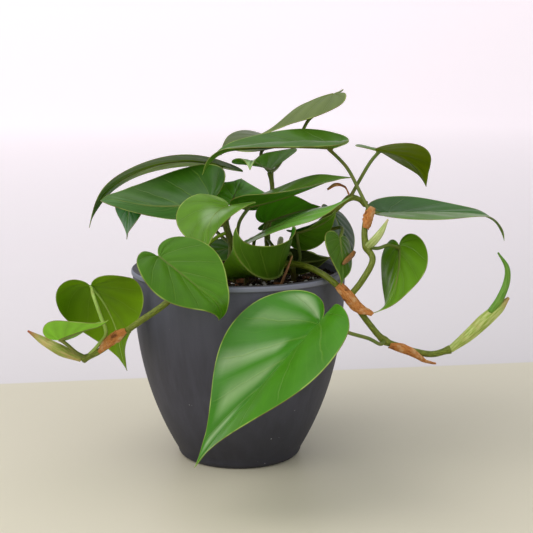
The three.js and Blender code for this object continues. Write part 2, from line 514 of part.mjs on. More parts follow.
// Leaves, each with the vine that bears it, its stalk from that vine and its blade.
const LEAVES = {
  leaf_front_large: {
    vine: "stem_right_trail", color: COLORS.front,
    stalkPath: [[77, -48, 76], [74, -56, 76], [67, -64, 81], [56, -72, 86], [48, -79, 91]],
    base: [39.2, -91.7, 94.7], length: 93, width: 88.7, heading: 204.4, pitch: -40, roll: -14.9,
    droop: 11.2, curl: 6, bend: 3.7, twist: -9.7, foldLeft: 50.4, foldRight: -17.9, cupLeft: -53.6,
    cupRight: 43.6, lobe: 17.9,
  },
  leaf_rim_left: {
    vine: "stem_left_trail", color: COLORS.front,
    stalkPath: [[-25, -50, 113], [-31, -56, 118], [-36, -62, 121]],
    base: [-40, -65, 124], length: 50, width: 51, heading: -22, pitch: -32, roll: 4, droop: 8,
    curl: 100, bend: -3, twist: 30, foldLeft: 18, foldRight: 10, cupLeft: 1, cupRight: -25, lobe: 23,
  },
  leaf_far_left: {
    vine: "stem_left_trail", color: COLORS.yellow,
    stalkPath: [[-80, -46, 68], [-74, -49, 75], [-70, -50, 81], [-73, -49, 91], [-77, -44, 101]],
    base: [-78.6, -35.6, 103.7], length: 55.4, width: 51.6, heading: 65.5, pitch: -34.9, roll: -12.9,
    droop: 103.3, curl: -34.6, bend: 43, twist: 35.9, foldLeft: 15, foldRight: -10.1, cupLeft: -94.1,
    cupRight: 30.9, lobe: 27.8,
  },
  leaf_young_left: {
    vine: "stem_left_trail", color: COLORS.shoot,
    stalkPath: [[-81, -46, 67], [-86, -50, 71], [-90, -51, 75]],
    base: [-94, -50, 78], length: 38, width: 26, heading: -34, pitch: 26, roll: -28, droop: 14,
    curl: -24, bend: 3, twist: 25, foldLeft: 31, foldRight: 24, cupLeft: -15, cupRight: 0, lobe: -9,
  },
  leaf_upper_left_back: {
    vine: "stem_center_left", color: COLORS.deep,
    stalkPath: [[-4, -14, 122], [-12, -2, 127], [-19, 20, 133], [-21, 38, 143], [-17, 44, 154]],
    base: [-10, 38, 160], length: 95, width: 50, heading: 177.5, pitch: 17, roll: 10, droop: 78,
    curl: 22, twist: 13, foldRight: -1, cupLeft: 2, cupRight: 2, lobe: 1,
  },
  leaf_upper_left_front: {
    vine: "stem_center_left", color: COLORS.deep,
    stalkPath: [[-8, -12, 136], [-11, -7, 140]],
    base: [-16.3, 0.7, 144.2], length: 72.1, width: 52.2, heading: 152.8, pitch: -16.6, roll: -79.4,
    droop: -41.8, curl: 81.7, bend: 28.6, twist: 22.2, foldLeft: 40.1, foldRight: -17.4, cupLeft: 49.4,
    cupRight: -11.5, lobe: 11.4,
  },
  leaf_left_tip: {
    vine: "stem_center_left", color: COLORS.front,
    stalkPath: [[-8, -12, 136], [-9, -8, 132], [-14, 2, 132], [-24, 12, 133.5], [-33, 18, 136.5],
      [-42, 22, 139.5], [-54, 23, 139]],
    base: [-62.5, 23, 138.5], length: 19.3, width: 28, heading: 241, pitch: -80, roll: 18, twist: 37,
  },
  leaf_center_folded: {
    vine: "stem_center_left", color: COLORS.front,
    stalkPath: [[-8, -12, 136], [-7, -19, 140], [-6, -25, 143]],
    base: [-6, -27, 145], length: 36, width: 49, heading: 223, pitch: -6, roll: 8, droop: 82,
    curl: -37, bend: -19, twist: 18, foldLeft: 3, foldRight: 20, cupLeft: -2, cupRight: 2,
  },
  leaf_center_back: {
    vine: "stem_center_left", color: COLORS.deep,
    stalkPath: [[-8, -12, 136], [-6, -5, 135], [-5, 6, 136]],
    base: [-4, 14, 141], length: 40, width: 42, heading: 81, pitch: 18, roll: 7, droop: 8,
    foldLeft: 2, foldRight: 1, cupLeft: 1,
  },
  leaf_edge_low: {
    vine: "stem_center_left", color: COLORS.shade,
    stalkPath: [[-4, -14, 114], [-4, -8, 117]],
    base: [-4, -2, 118], length: 33, width: 30, heading: 190, pitch: -5, roll: -14, droop: 14,
  },
  leaf_top_right: {
    vine: "stem_center_tall", color: COLORS.pale,
    stalkPath: [[18, 18, 158], [22, 27, 160], [26, 31, 165], [31, 31, 170], [35, 29, 177],
      [40, 27, 187], [47, 28, 192.5]],
    stalkRunsOn: false,
    base: [53.7, 33.4, 201.3], length: 48.3, width: 35, heading: 183.4, pitch: -10.7, roll: -13.5,
    droop: 45.3, curl: -38.3, bend: -10.6, twist: -4.4, foldLeft: -6.2, foldRight: -26.3, cupLeft: -10,
    cupRight: 11.3, lobe: 38.7,
  },
  leaf_top_back: {
    vine: "stem_center_tall", color: COLORS.deep,
    stalkPath: [[18, 18, 158], [14.5, 23, 161.5], [13, 31, 168]],
    base: [22, 40, 175], length: 37, width: 50, heading: 188, pitch: 13, roll: 2, droop: 44,
    curl: 45, bend: -8, twist: -24, foldLeft: -7, foldRight: -1,
  },
  leaf_under_pale: {
    vine: "stem_center_tall", color: COLORS.yellow,
    stalkPath: [[18, 18, 158]],
    base: [18, 12.5, 160.8], length: 45, width: 39, heading: 254, pitch: 9, roll: 13, droop: -12,
    curl: 66, bend: 2, twist: -2, foldLeft: 24, foldRight: 22, cupLeft: -6, cupRight: -6, lobe: 20,
  },
  leaf_center_shaded: {
    vine: "stem_center_tall", color: COLORS.shade,
    stalkPath: [[16, 6, 122], [14, 5, 126]],
    base: [15, 8, 131], length: 33, width: 36, heading: 9, pitch: 22, roll: -40, droop: 10,
    curl: 1, bend: -11, twist: -7, foldLeft: 15, foldRight: 10, lobe: -1,
  },
  leaf_top_front: {
    vine: "stem_right_trail", color: COLORS.front,
    stalkPath: [[70, -26, 142], [65, -20, 152.5], [58.5, -13, 164.5]],
    base: [50.7, -7, 174.6], length: 77.3, width: 58.1, heading: 175.6, pitch: 3.1, roll: 5.3,
    droop: 13.7, curl: 57.4, bend: 2.4, twist: -8.8, foldLeft: 22.9, foldRight: 9.7, cupLeft: -45.6,
    cupRight: 16.4, lobe: 33.4,
  },
  leaf_center_upper: {
    vine: "stem_center", color: COLORS.front,
    stalkPath: [[4, -20, 112], [0, -19, 120], [0, -17, 134]],
    base: [4, -14, 143], length: 60, width: 46, heading: 4, pitch: 10, roll: -14, droop: -18,
    curl: 26, bend: 9, twist: 29, foldLeft: 16, foldRight: 19, cupLeft: -6, cupRight: -14, lobe: -3,
  },
  leaf_center_lower: {
    vine: "stem_center", color: COLORS.front,
    stalkPath: [[4, -20, 112], [7, -23, 118]],
    base: [7, -24, 127], length: 59, width: 46, heading: -4, pitch: 29, roll: 1, droop: 18,
    curl: -24, twist: 10, foldLeft: -2, foldRight: -3, cupLeft: -18, cupRight: 14,
  },
  leaf_rim_spike: {
    vine: "stem_center_low", color: COLORS.front,
    stalkPath: [[29, -16, 110], [28, -21, 118], [25, -29, 118]],
    base: [22, -34.5, 110], length: 54, width: 64, heading: 248, pitch: -16, roll: 40, droop: -128,
    curl: -30, bend: 6, twist: -42, foldLeft: 23, foldRight: 30, cupLeft: 17, cupRight: -7, lobe: 26,
  },
  leaf_cupped: {
    vine: "stem_center_low", color: COLORS.shade,
    stalkPath: [[29, -16, 110], [33, -16, 113]],
    base: [30.7, -16, 129], length: 26.9, width: 24.3, heading: -4.1, pitch: 9.4, roll: -45.5,
    droop: -31.4, curl: -38, bend: 14, twist: -8.4, foldLeft: -20, foldRight: -8, cupLeft: -11.6,
    cupRight: -60, lobe: 22.1,
  },
  leaf_dark_low: {
    vine: "stem_center_tall", color: COLORS.shade,
    stalkPath: [[16, 6, 122], [18, 0, 120]],
    base: [24.9, -12.2, 112.4], length: 26.6, width: 15.5, heading: -4.1, pitch: -8, roll: -73.4,
    droop: -14.8, curl: -22.5, bend: 21.4, twist: -12.5, foldLeft: -5, foldRight: 16.3, cupLeft: 14.5,
    cupRight: 8.3, lobe: 4.5,
  },
  leaf_right_rim_back: {
    vine: "stem_right_tall", color: COLORS.deep,
    stalkPath: [[46, -8, 134], [50, 3, 132]],
    base: [54, 14, 135], length: 30, width: 33, heading: -59, pitch: -51, roll: -31, droop: 2,
    curl: 11, bend: -2, twist: 6,
  },
  leaf_right_rim_front: {
    vine: "stem_right_tall", color: COLORS.front,
    stalkPath: [[40, -8, 128], [46, -10.5, 129], [52, -12, 130.5], [56, -19, 132]],
    base: [54, -34, 128], length: 27, width: 24, heading: -81, pitch: -54, roll: -39, droop: 6,
    curl: 14, bend: 8, twist: -5, foldLeft: -7, foldRight: -3, cupLeft: -6, cupRight: -8,
  },
  leaf_right_upper: {
    vine: "stem_right_tall", color: COLORS.yellow,
    stalkPath: [[61, -9, 147], [66, -11, 157], [72, -10, 167]],
    base: [76, -8, 173], length: 45, width: 41, heading: 32, pitch: -5, roll: -2, droop: 46,
    curl: 24, bend: -9, twist: -10, foldLeft: 8, foldRight: 13, lobe: 3,
  },
  leaf_right_long: {
    vine: "stem_right_tall", color: COLORS.front,
    stalkPath: [[70, -6, 143], [76, -5, 138]],
    base: [84, -4, 138], length: 75, width: 56, heading: 7, pitch: 1, roll: -5, droop: 10, curl: 73,
    bend: -6, twist: 3, foldLeft: 4, foldRight: 2, cupLeft: 23, cupRight: -11, lobe: -3,
  },
  leaf_right_hanging: {
    vine: "stem_right_trail", color: COLORS.front,
    stalkPath: [[68, -34, 124], [74, -33, 123], [80, -29, 124]],
    base: [87, -20, 122], length: 55, width: 31, heading: 270, pitch: -43, roll: 28, droop: -29,
    curl: -26, bend: 19, twist: 28, foldLeft: -18, foldRight: -15, cupLeft: -6, cupRight: -20, lobe: -4,
  },
  leaf_back_left: {
    vine: "stem_back_trail", color: COLORS.front,
    stalkPath: [[14, 68, 80], [6, 70, 84], [-2, 72, 86]],
    base: [-8, 74, 84], length: 62, width: 46, heading: 150, pitch: -58, droop: 12, curl: 20,
  },
  leaf_back_right: {
    vine: "stem_back_trail", color: COLORS.deep,
    stalkPath: [[24, 66, 104], [29, 70, 104], [33, 73, 101]],
    base: [36, 75, 97], length: 60, width: 44, heading: 60, pitch: -60, droop: 10, curl: 25,
  },
  leaf_back_low: {
    vine: "stem_back_trail", color: COLORS.front,
    stalkPath: [[8, 67, 68], [6, 71, 64]],
    base: [5, 76, 60], length: 46, width: 34, heading: 95, pitch: -58, droop: 8, curl: 20,
  },
};

// Papery sheaths. Each is a curved scale that wraps a vine, with the radius and the half angle of
// its wrap at each point of its path, and the side of the vine that it faces.
const SHEATHS = {
  sheath_right_upper: {
    vine: "stem_right_trail", facing: [0.4, -0.8, 0.5],
    path: [[52, -43.5, 105], [58, -45, 99], [63, -46, 93], [70, -50, 89]],
    radius: [2.8, 3.1, 3, 2.8], wrap: [70, 115, 95, 25],
  },
  sheath_right_lower: {
    vine: "stem_right_trail", facing: [0.1, -0.6, -0.8],
    path: [[80, -48.5, 75], [86, -49, 72.7], [93, -50, 70], [99, -52, 67], [104, -54, 66]],
    radius: [3, 2.9, 2.7, 2.2, 1.4], wrap: [60, 110, 90, 55, 40],
  },
  sheath_branch: {
    vine: "stem_right_trail", facing: [0.3, -1, 0],
    path: [[67, -31, 133], [69, -28, 139], [71, -26, 144]],
    radius: [2.6, 2.9, 2.6], wrap: [45, 90, 40],
  },
  sheath_left_trail: {
    vine: "stem_left_trail", facing: [-0.3, -1, 0.3],
    path: [[-58, -55.5, 84], [-64, -53, 80], [-69, -51, 76], [-73, -50, 71]],
    radius: [2.6, 3, 2.8, 2.2], wrap: [30, 90, 70, 25],
  },
  sheath_tall_curl: {
    vine: "stem_right_tall", facing: [-0.2, -0.3, 1],
    path: [[49, -12, 151], [53, -12, 153.5], [57, -10.5, 152.2], [59.4, -9.4, 148.6]],
    radius: [1.6, 2, 1.8, 1.3], wrap: [40, 60, 55, 40],
  },
};

// Shoots and other slim pieces: tapering rods.
const SHOOTS = {
  bud_left_end: {
    vine: "stem_left_trail", color: COLORS.shoot,
    path: [[-84, -45, 66], [-94, -45, 70.5], [-104, -44, 76], [-112, -43, 81]],
    radii: [1.5, 3, 2.2, 0.4],
  },
  sheath_shoot_right: {
    vine: "stem_right_trail", color: COLORS.shoot,
    path: [[112, -48, 71], [121, -47.5, 78], [130, -46, 86], [138, -45, 93], [143, -44, 98]],
    radii: [1.8, 3, 3.6, 2.8, 0.6],
  },
  shoot_right_end: {
    vine: "stem_right_trail", beside: "sheath_shoot_right", color: COLORS.shoot,
    path: [[133, -47, 91], [138, -46, 98], [142, -43, 107], [142, -42, 114], [137, -42, 122]],
    radii: [1.8, 2, 1.7, 1.3, 0.4],
  },
  shoot_branch: {
    vine: "stem_right_trail", color: COLORS.shoot,
    path: [[68, -34, 124], [71, -37, 127], [75, -37, 132], [79, -36, 139]],
    radii: [1.6, 2.4, 2, 0.5],
  },
  sprout_center: {
    vine: "stem_center_left", color: COLORS.shoot,
    path: [[-6, -13, 129], [-12, -16, 126.5], [-17, -20, 123]],
    radii: [0.9, 1, 0.8],
  },
  dried_tip_right: {
    blade: "leaf_right_rim_front", color: COLORS.sheath,
    path: [[62, -29.5, 120.6], [60.6, -31, 119.1], [56.7, -40.4, 117.6], [54.8, -44.6, 116.7]],
    radii: [1, 1.5, 1.4, 0.6],
  },
  stick_in_soil: {
    color: COLORS.sheath,
    path: [[20, -44, 96], [22, -44, 105], [25, -44, 113], [28, -44, 121]],
    radii: [0.8, 0.8, 0.7, 0.4],
  },
};

for (const [name, shape] of Object.entries(VINES)) {
  addMesh(name, vineSolid(shape), COLORS.vine, ROUGHNESS.vine);
}
for (const [name, shape] of Object.entries(LEAVES)) {
  const leaf = { ...LEAF_AT_REST, ...shape };
  addMesh(name, leafSolid(leaf), leaf.color, ROUGHNESS.leaf);
}
for (const [name, shape] of Object.entries(SHEATHS)) {
  addMesh(name, sheathSolid(shape), COLORS.sheath, ROUGHNESS.sheath);
}
for (const [name, shape] of Object.entries(SHOOTS)) {
  addMesh(name, shootSolid(shape), shape.color, ROUGHNESS.shoot);
}
addMesh("pot", potSolid(), COLORS.pot, ROUGHNESS.pot);
addMesh("soil", soilSolid(), COLORS.soil, ROUGHNESS.soil);

export default plant;
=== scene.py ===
import math
import random

import bpy
import numpy as np
from mathutils import Matrix, Vector, noise


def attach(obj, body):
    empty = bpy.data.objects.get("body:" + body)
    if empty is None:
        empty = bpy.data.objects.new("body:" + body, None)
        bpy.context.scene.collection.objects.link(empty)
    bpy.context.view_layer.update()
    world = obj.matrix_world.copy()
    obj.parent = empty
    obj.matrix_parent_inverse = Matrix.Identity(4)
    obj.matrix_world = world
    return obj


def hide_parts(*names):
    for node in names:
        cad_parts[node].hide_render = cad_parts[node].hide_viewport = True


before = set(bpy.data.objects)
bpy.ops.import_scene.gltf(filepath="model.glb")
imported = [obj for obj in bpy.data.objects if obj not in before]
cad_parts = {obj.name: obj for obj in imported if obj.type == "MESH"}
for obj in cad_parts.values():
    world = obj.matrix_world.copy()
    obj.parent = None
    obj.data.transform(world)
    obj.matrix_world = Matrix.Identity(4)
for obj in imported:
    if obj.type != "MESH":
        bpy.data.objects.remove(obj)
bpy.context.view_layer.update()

# The studio. A pale beige floor turns to a lavender-white backdrop behind the plant, which glows a
# little further off and rises on every side. A large soft light stands at the upper left, with a
# weak one at the right and a wide one overhead. The camera looks 10.5 degrees down, a long lens on.
MM = 0.001
FRAME_PX = 533
FOCAL_PX = 1340
SENSOR_MM = 36
CAMERA_FROM = Vector((0, -737.4, 244.2))
CAMERA_TURN = math.radians(1.196)
CAMERA_DOWN = math.radians(10.52)
FLOOR_REACH = 2400
COVE_RADIUS = 900
COVE_STEPS = 10
COVE_SEGMENTS = 96
FLOOR_EDGE = 167
FLOOR_EDGE_SLOPE = 0.136
FLOOR_EDGE_BLUR = 2
GLOW_SLOPE = 0.4
GLOW_REACH = 3500
GLOW_STRENGTH = 0.62
PLANT_MIDDLE = Vector((0, 0, 110))


def paint(text):
    """The linear colour of a written one."""
    parts = [int(text[k:k + 2], 16) / 255 for k in (1, 3, 5)]
    return [c / 12.92 if c <= 0.04045 else ((c + 0.055) / 1.055) ** 2.4 for c in parts] + [1]


def mesh_piece(name, corners, faces, materials, corner_values=None, face_materials=None):
    """A smooth mesh object from corners in millimetres. Corner values are lists, one value for
    each corner of each face in turn, with the name and kind of the attribute that holds them."""
    mesh = bpy.data.meshes.new(name)
    mesh.from_pydata([tuple(c) for c in np.asarray(corners, float) * MM], [], faces)
    for material in materials:
        mesh.materials.append(material)
    mesh.shade_smooth()
    if face_materials is not None:
        mesh.polygons.foreach_set("material_index", face_materials)
    for (attribute, kind), values in (corner_values or {}).items():
        made = mesh.attributes.new(attribute, kind, "CORNER")
        key = "color" if kind == "FLOAT_COLOR" else "vector"
        made.data.foreach_set(key, np.asarray(values, float).ravel())
    piece = bpy.data.objects.new(name, mesh)
    bpy.context.collection.objects.link(piece)
    return piece


def lathe(profile, segments):
    """Corners and faces of a surface of revolution about Z. A point on the axis is one corner."""
    corners, rings, faces = [], [], []
    for radius, height in profile:
        count = segments if radius > 0 else 1
        rings.append([len(corners) + k for k in range(count)])
        for k in range(count):
            angle = 2 * math.pi * k / segments
            corners.append((radius * math.cos(angle), radius * math.sin(angle), height))
    for low, high in zip(rings, rings[1:]):
        for k in range(segments):
            ring = [low[k % len(low)], low[(k + 1) % len(low)],
                    high[(k + 1) % len(high)], high[k % len(high)]]
            face = list(dict.fromkeys(ring))
            if len(face) > 2:
                faces.append(face)
    return corners, faces


class Value:
    """A number, colour or vector over a surface, that takes sums as a plain number does."""

    def __init__(self, nodes, socket):
        self.nodes, self.socket = nodes, socket

    def also(self, output):
        """Another output of the same node."""
        return Value(self.nodes, self.socket.node.outputs[output])

    def __add__(self, other):
        return self.nodes.calc("ADD", self, other)

    __radd__ = __add__

    def __sub__(self, other):
        return self.nodes.calc("SUBTRACT", self, other)

    def __rsub__(self, other):
        return self.nodes.calc("SUBTRACT", other, self)

    def __mul__(self, other):
        return self.nodes.calc("MULTIPLY", self, other)

    __rmul__ = __mul__

    def __truediv__(self, other):
        return self.nodes.calc("DIVIDE", self, other)

    def __rtruediv__(self, other):
        return self.nodes.calc("DIVIDE", other, self)

    def __pow__(self, power):
        return self.nodes.calc("POWER", self, power)

    def __abs__(self):
        return self.nodes.calc("ABSOLUTE", self)

    def ramp(self, low, high, smooth=True):
        """The value taken from 0 at low to 1 at high."""
        return self.nodes.add("MapRange", "Result", {
            "interpolation_type": "SMOOTHSTEP" if smooth else "LINEAR"},
            Value=self, From_Min=low, From_Max=high)

    def towards(self, color, share, kind="MIX"):
        return self.nodes.blend(self, color, share, kind)


class Nodes:
    """A shader node tree, and short ways to add to it."""

    def __init__(self, tree):
        self.tree = tree

    def put(self, socket, value):
        """Links a value into a socket, or sets a plain number or a written colour there."""
        if isinstance(value, Value):
            self.tree.links.new(value.socket, socket)
        else:
            socket.default_value = paint(value) if isinstance(value, str) else value

    def add(self, kind, output, settings=None, **inputs):
        """One output of a new node that has these properties and inputs."""
        made = self.tree.nodes.new("ShaderNode" + kind)
        for key, value in (settings or {}).items():
            setattr(made, key, value)
        for key, value in inputs.items():
            self.put(made.inputs[key.replace("_", " ")], value)
        return Value(self, made.outputs[output])

    def calc(self, operation, *values):
        made = self.add("Math", 0, {"operation": operation})
        for socket, value in zip(made.socket.node.inputs, values):
            self.put(socket, value)
        return made

    def blend(self, first, second, share, kind="MIX"):
        """A mix of two colours, with this share of the second."""
        made = self.add("Mix", 2, {"data_type": "RGBA", "blend_type": kind})
        for index, value in ((0, share), (6, first), (7, second)):
            self.put(made.socket.node.inputs[index], value)
        return made

    def noise(self, place, scale, detail, roughness=0.5):
        return self.add("TexNoise", "Fac", Vector=place, Scale=scale, Detail=detail, Roughness=roughness)

    def stretched(self, place, scale):
        return self.add("Mapping", "Vector", Vector=place, Scale=scale)

    def split(self, vector):
        first = self.add("SeparateXYZ", "X", Vector=vector)
        return first, first.also("Y"), first.also("Z")


class Finish(Nodes):
    """A material with its Principled shader."""

    def __init__(self, name, **sockets):
        self.material = bpy.data.materials.new(name)
        self.material.use_nodes = True
        super().__init__(self.material.node_tree)
        self.set(**sockets)

    def set(self, **sockets):
        shader = self.tree.nodes["Principled BSDF"]
        for key, value in sockets.items():
            self.put(shader.inputs[key.replace("_", " ")], value)

    def bump(self, strength, distance, height):
        self.set(Normal=self.add("Bump", "Normal", Strength=strength, Distance=distance, Height=height))

    def spot(self):
        """The place on the piece, in metres."""
        return self.add("TexCoord", "Object")

    def carried(self, attribute, output="Vector"):
        """A value that the mesh itself carries."""
        return self.add("Attribute", output, {"attribute_name": attribute})


floor_finish = Finish("floor", Roughness=0.45, Specular_IOR_Level=0.3)
x, y, _ = floor_finish.split(floor_finish.add("NewGeometry", "Position"))
edge = (y - x * FLOOR_EDGE_SLOPE).ramp((FLOOR_EDGE - FLOOR_EDGE_BLUR) * MM,
                                       (FLOOR_EDGE + FLOOR_EDGE_BLUR) * MM)
# Painted light: further off, and more so to the left, the backdrop is painted paler and glows, standing in
# for the light that falls on it.
far = edge * (y - x * GLOW_SLOPE).ramp(0, GLOW_REACH * MM, smooth=False) ** 0.7
backdrop = floor_finish.blend("#d6d2d3", "#f1ebf0", far)
floor_finish.set(Base_Color=floor_finish.blend("#e2dbc5", backdrop, edge),
                 Emission_Color="#fff3f8", Emission_Strength=far * GLOW_STRENGTH)
cove = [(reach, 0) for reach in (0, 300, 900, FLOOR_REACH)]
for step in range(1, COVE_STEPS + 1):
    turn = math.pi / 2 * step / COVE_STEPS
    cove.append((FLOOR_REACH + COVE_RADIUS * math.sin(turn), COVE_RADIUS * (1 - math.cos(turn))))
mesh_piece("studio_floor", *lathe(cove, COVE_SEGMENTS), [floor_finish.material])

scene = bpy.context.scene
scene.view_settings.view_transform = "Standard"
scene.world = bpy.data.worlds.new("studio_sky")
scene.world.use_nodes = True
sky = scene.world.node_tree.nodes["Background"]
sky.inputs["Color"].default_value = (0.93, 0.95, 1, 1)
sky.inputs["Strength"].default_value = 0.42


def soft_light(name, place, size, power, color):
    """A square soft light that faces the middle of the plant."""
    data = bpy.data.lights.new(name, "AREA")
    data.shape = "SQUARE"
    data.size = size * MM
    data.energy = power
    data.color = color
    light = bpy.data.objects.new(name, data)
    light.location = Vector(place) * MM
    light.rotation_euler = (PLANT_MIDDLE - Vector(place)).to_track_quat("-Z", "Y").to_euler()
    light.visible_camera = False
    bpy.context.collection.objects.link(light)


soft_light("key_light", (-900, -650, 1000), 1400, 12, (1, 0.98, 0.95))
soft_light("fill_light", (1000, -900, 500), 900, 3, (0.95, 0.97, 1))
soft_light("top_light", (0, 100, 1500), 2600, 9.8, (1, 1, 1))

camera = bpy.data.objects.new("camera", bpy.data.cameras.new("camera"))
camera.data.lens = FOCAL_PX / FRAME_PX * SENSOR_MM
camera.data.sensor_width = SENSOR_MM
camera.location = CAMERA_FROM * MM
look = Vector((math.sin(CAMERA_TURN) * math.cos(CAMERA_DOWN),
               math.cos(CAMERA_TURN) * math.cos(CAMERA_DOWN), -math.sin(CAMERA_DOWN)))
camera.rotation_euler = look.to_track_quat("-Z", "Y").to_euler()
bpy.context.collection.objects.link(camera)
scene.camera = camera

# The pot. A turned charcoal pot of matte moulded fibre, nearly upright at the rim and drawn in to a
# small foot, with a rounded band round its lip and four drain holes in its floor.
POT_HEIGHT = 107.5
POT_RIM_RADIUS = 60
POT_MOUTH_RADIUS = 55.5
POT_TAPER = 25
POT_CURVE = 2.45
POT_WALL = 3.2
POT_FLOOR = 4
POT_FOOT_ROUND = 4
POT_SEGMENTS = 160
POT_WALL_RINGS = 30
LIP_HEIGHT = 3.6
LIP_STEP = 0.8
LIP_ROUND = 1.3
LIP_UNDERSIDE_ROUND = 0.6
LIP_UNDERSIDE_LIFT = 1.1
DRAIN_HOLE_RADIUS = 4
DRAIN_HOLE_CIRCLE = 18
DRAIN_HOLE_SEGMENTS = 32


def pot_radius(height):
    down = (POT_HEIGHT - height) / (POT_HEIGHT - POT_FOOT_ROUND)
    return POT_RIM_RADIUS - LIP_STEP - (POT_TAPER - LIP_STEP) * down ** POT_CURVE


def inside_radius(height):
    return pot_radius(max(height, POT_FOOT_ROUND)) - POT_WALL


def arc(centre, radius, start, end, steps):
    """Points on an arc, in degrees from outward towards up."""
    turns = [math.radians(start + (end - start) * k / steps) for k in range(steps + 1)]
    return [(centre[0] + radius * math.cos(a), centre[1] + radius * math.sin(a)) for a in turns]


foot = pot_radius(POT_FOOT_ROUND) - POT_FOOT_ROUND
wall_top = POT_HEIGHT - LIP_HEIGHT
profile = [(0, 0), (DRAIN_HOLE_CIRCLE, 0)]
profile += arc((foot, POT_FOOT_ROUND), POT_FOOT_ROUND, -90, -8, 8)
profile += [(pot_radius(h), h) for h in np.linspace(POT_FOOT_ROUND, wall_top, POT_WALL_RINGS)]
profile += arc((POT_RIM_RADIUS - LIP_UNDERSIDE_ROUND, wall_top + LIP_UNDERSIDE_LIFT),
               LIP_UNDERSIDE_ROUND, -60, 0, 3)
profile += arc((POT_RIM_RADIUS - LIP_ROUND, POT_HEIGHT - LIP_ROUND), LIP_ROUND, 0, 90, 8)
profile += arc((POT_MOUTH_RADIUS + LIP_ROUND, POT_HEIGHT - LIP_ROUND), LIP_ROUND, 90, 180, 8)
profile += [(inside_radius(h), h) for h in (99, 90, 70, 50, 30, 16, 8, POT_FLOOR)]
profile += [(DRAIN_HOLE_CIRCLE, POT_FLOOR), (0, POT_FLOOR)]


def open_group(name, sockets):
    """A node group with these sockets: its nodes, the values given to it and its results."""
    group = bpy.data.node_groups.new(name, "ShaderNodeTree")
    for way, kind, labels in sockets:
        for label in labels:
            group.interface.new_socket(label, in_out=way, socket_type="NodeSocket" + kind)
    nodes = Nodes(group)
    given = {socket.name: Value(nodes, socket) for socket in group.nodes.new("NodeGroupInput").outputs}
    return nodes, given, group.nodes.new("NodeGroupOutput").inputs


# Streaks that run along a piece, as a group that the pot, the vines, the sheaths and the shoots use.
streaking, given, result = open_group("long_streaks", (
    ("INPUT", "Vector", ("Place", "Stretch")), ("INPUT", "Float", ("Detail", "Roughness")),
    ("OUTPUT", "Float", ("Streaks",))))
stretched = streaking.stretched(given["Place"], given["Stretch"])
streaking.put(result["Streaks"], streaking.noise(stretched, 1, given["Detail"], given["Roughness"]))


def long_streaks(finish, place, stretch, detail, roughness=0.6):
    """Streaks from 0 to 1. Stretch is about how many of them fit in one unit of the place."""
    return finish.add("Group", "Streaks", {"node_tree": streaking.tree}, Place=place, Stretch=stretch,
                      Detail=detail, Roughness=roughness)


pot_finish = Finish("charcoal_pot", Specular_IOR_Level=0.35)
spot = pot_finish.spot()
streaks = long_streaks(pot_finish, spot, (190, 190, 14), 5)
clouds = pot_finish.noise(spot, 26, 3)
grain = pot_finish.noise(spot, 1500, 2)
specks = pot_finish.add("TexVoronoi", "Distance", Vector=spot, Scale=420)
chosen = pot_finish.noise(spot, 170, 1)
_, _, height = pot_finish.split(spot)
_, _, level = pot_finish.split(pot_finish.add("NewGeometry", "Normal"))
lip = height.ramp((wall_top + 0.6) * MM, (wall_top + 1.4) * MM)
color = pot_finish.blend("#3e3e49", "#484855", streaks.ramp(0.3, 0.75))
for tone, share in (
        ("#555664", clouds.ramp(0.4, 0.75) * 0.3),
        # Painted shade: darker towards the foot, where the pot meets the floor.
        ("#26262d", height.ramp(0.045, 0) * 0.6),
        # Painted light: paler towards the lip, where the wall gets more of the light from above.
        ("#616472", height.ramp(0.06, 0.1) * 0.4),
        # Painted highlight: the rounded band of the lip is paler, as light from above catches it.
        ("#8d90a0", lip * 0.7),
        # Painted shade: a thin dark line on the upper curve of the band, standing in for the shade of a
        # groove below the flat top.
        ("#2e2d33", lip * level.ramp(0.8, 0.92) * 0.85),
        ("#57555a", lip * level.ramp(0.97, 0.998) * 0.9),
        ("#a9aab2", specks.ramp(0.2, 0.1) * chosen.ramp(0.7, 0.74))):
    color = color.towards(tone, share)
pot_finish.set(Base_Color=color, Roughness=0.52 + clouds * 0.2)
pot_finish.bump(0.25, 0.0003, grain + streaks * 0.5)

pot = mesh_piece("pot_body", *lathe(profile, POT_SEGMENTS), [pot_finish.material])
drills = []
for quarter in range(4):
    turn = math.pi / 4 + quarter * math.pi / 2
    rod = [(0, -POT_FLOOR), (DRAIN_HOLE_RADIUS, -POT_FLOOR), (DRAIN_HOLE_RADIUS, 2 * POT_FLOOR),
           (0, 2 * POT_FLOOR)]
    corners, faces = lathe(rod, DRAIN_HOLE_SEGMENTS)
    shift = (DRAIN_HOLE_CIRCLE * math.cos(turn), DRAIN_HOLE_CIRCLE * math.sin(turn), 0)
    drills.append(mesh_piece("drill", np.asarray(corners) + shift, faces, []))
    cut = pot.modifiers.new("drain_hole", "BOOLEAN")
    cut.object = drills[-1]
    cut.operation = "DIFFERENCE"
    cut.solver = "EXACT"
bpy.context.view_layer.update()
drilled = bpy.data.meshes.new_from_object(pot.evaluated_get(bpy.context.evaluated_depsgraph_get()))
pot.modifiers.clear()
pot.data = drilled
for drill in drills:
    bpy.data.objects.remove(drill)
drilled.set_sharp_from_angle(angle=math.radians(38))
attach(pot, "root")
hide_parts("pot")

# The soil. Dark potting mix that fills the pot to just below its lip: a rough bed with crumbs,
# white perlite grains and flat chips of bark lying on it.
SOIL_TOP = 101.5
SOIL_RELIEF = 0.9
SOIL_RINGS = 36
SOIL_SEGMENTS = 128
SOIL_GAP = 0.3
CLODS = ((5, 1.3, 3), (1.7, 0.9, 9))
CLOD_SINK = 0.3
BARE_RIM = 2


def soil_height(x, y):
    """The height of the bed: the long swell of the solid, with clods of two sizes on it."""
    clods = sum(noise.noise(Vector((x / size, y / size, layer))) * rise for size, rise, layer in CLODS)
    return SOIL_TOP + SOIL_RELIEF * math.sin(x / 6 + 1) * math.cos(y / 7) + clods - CLOD_SINK


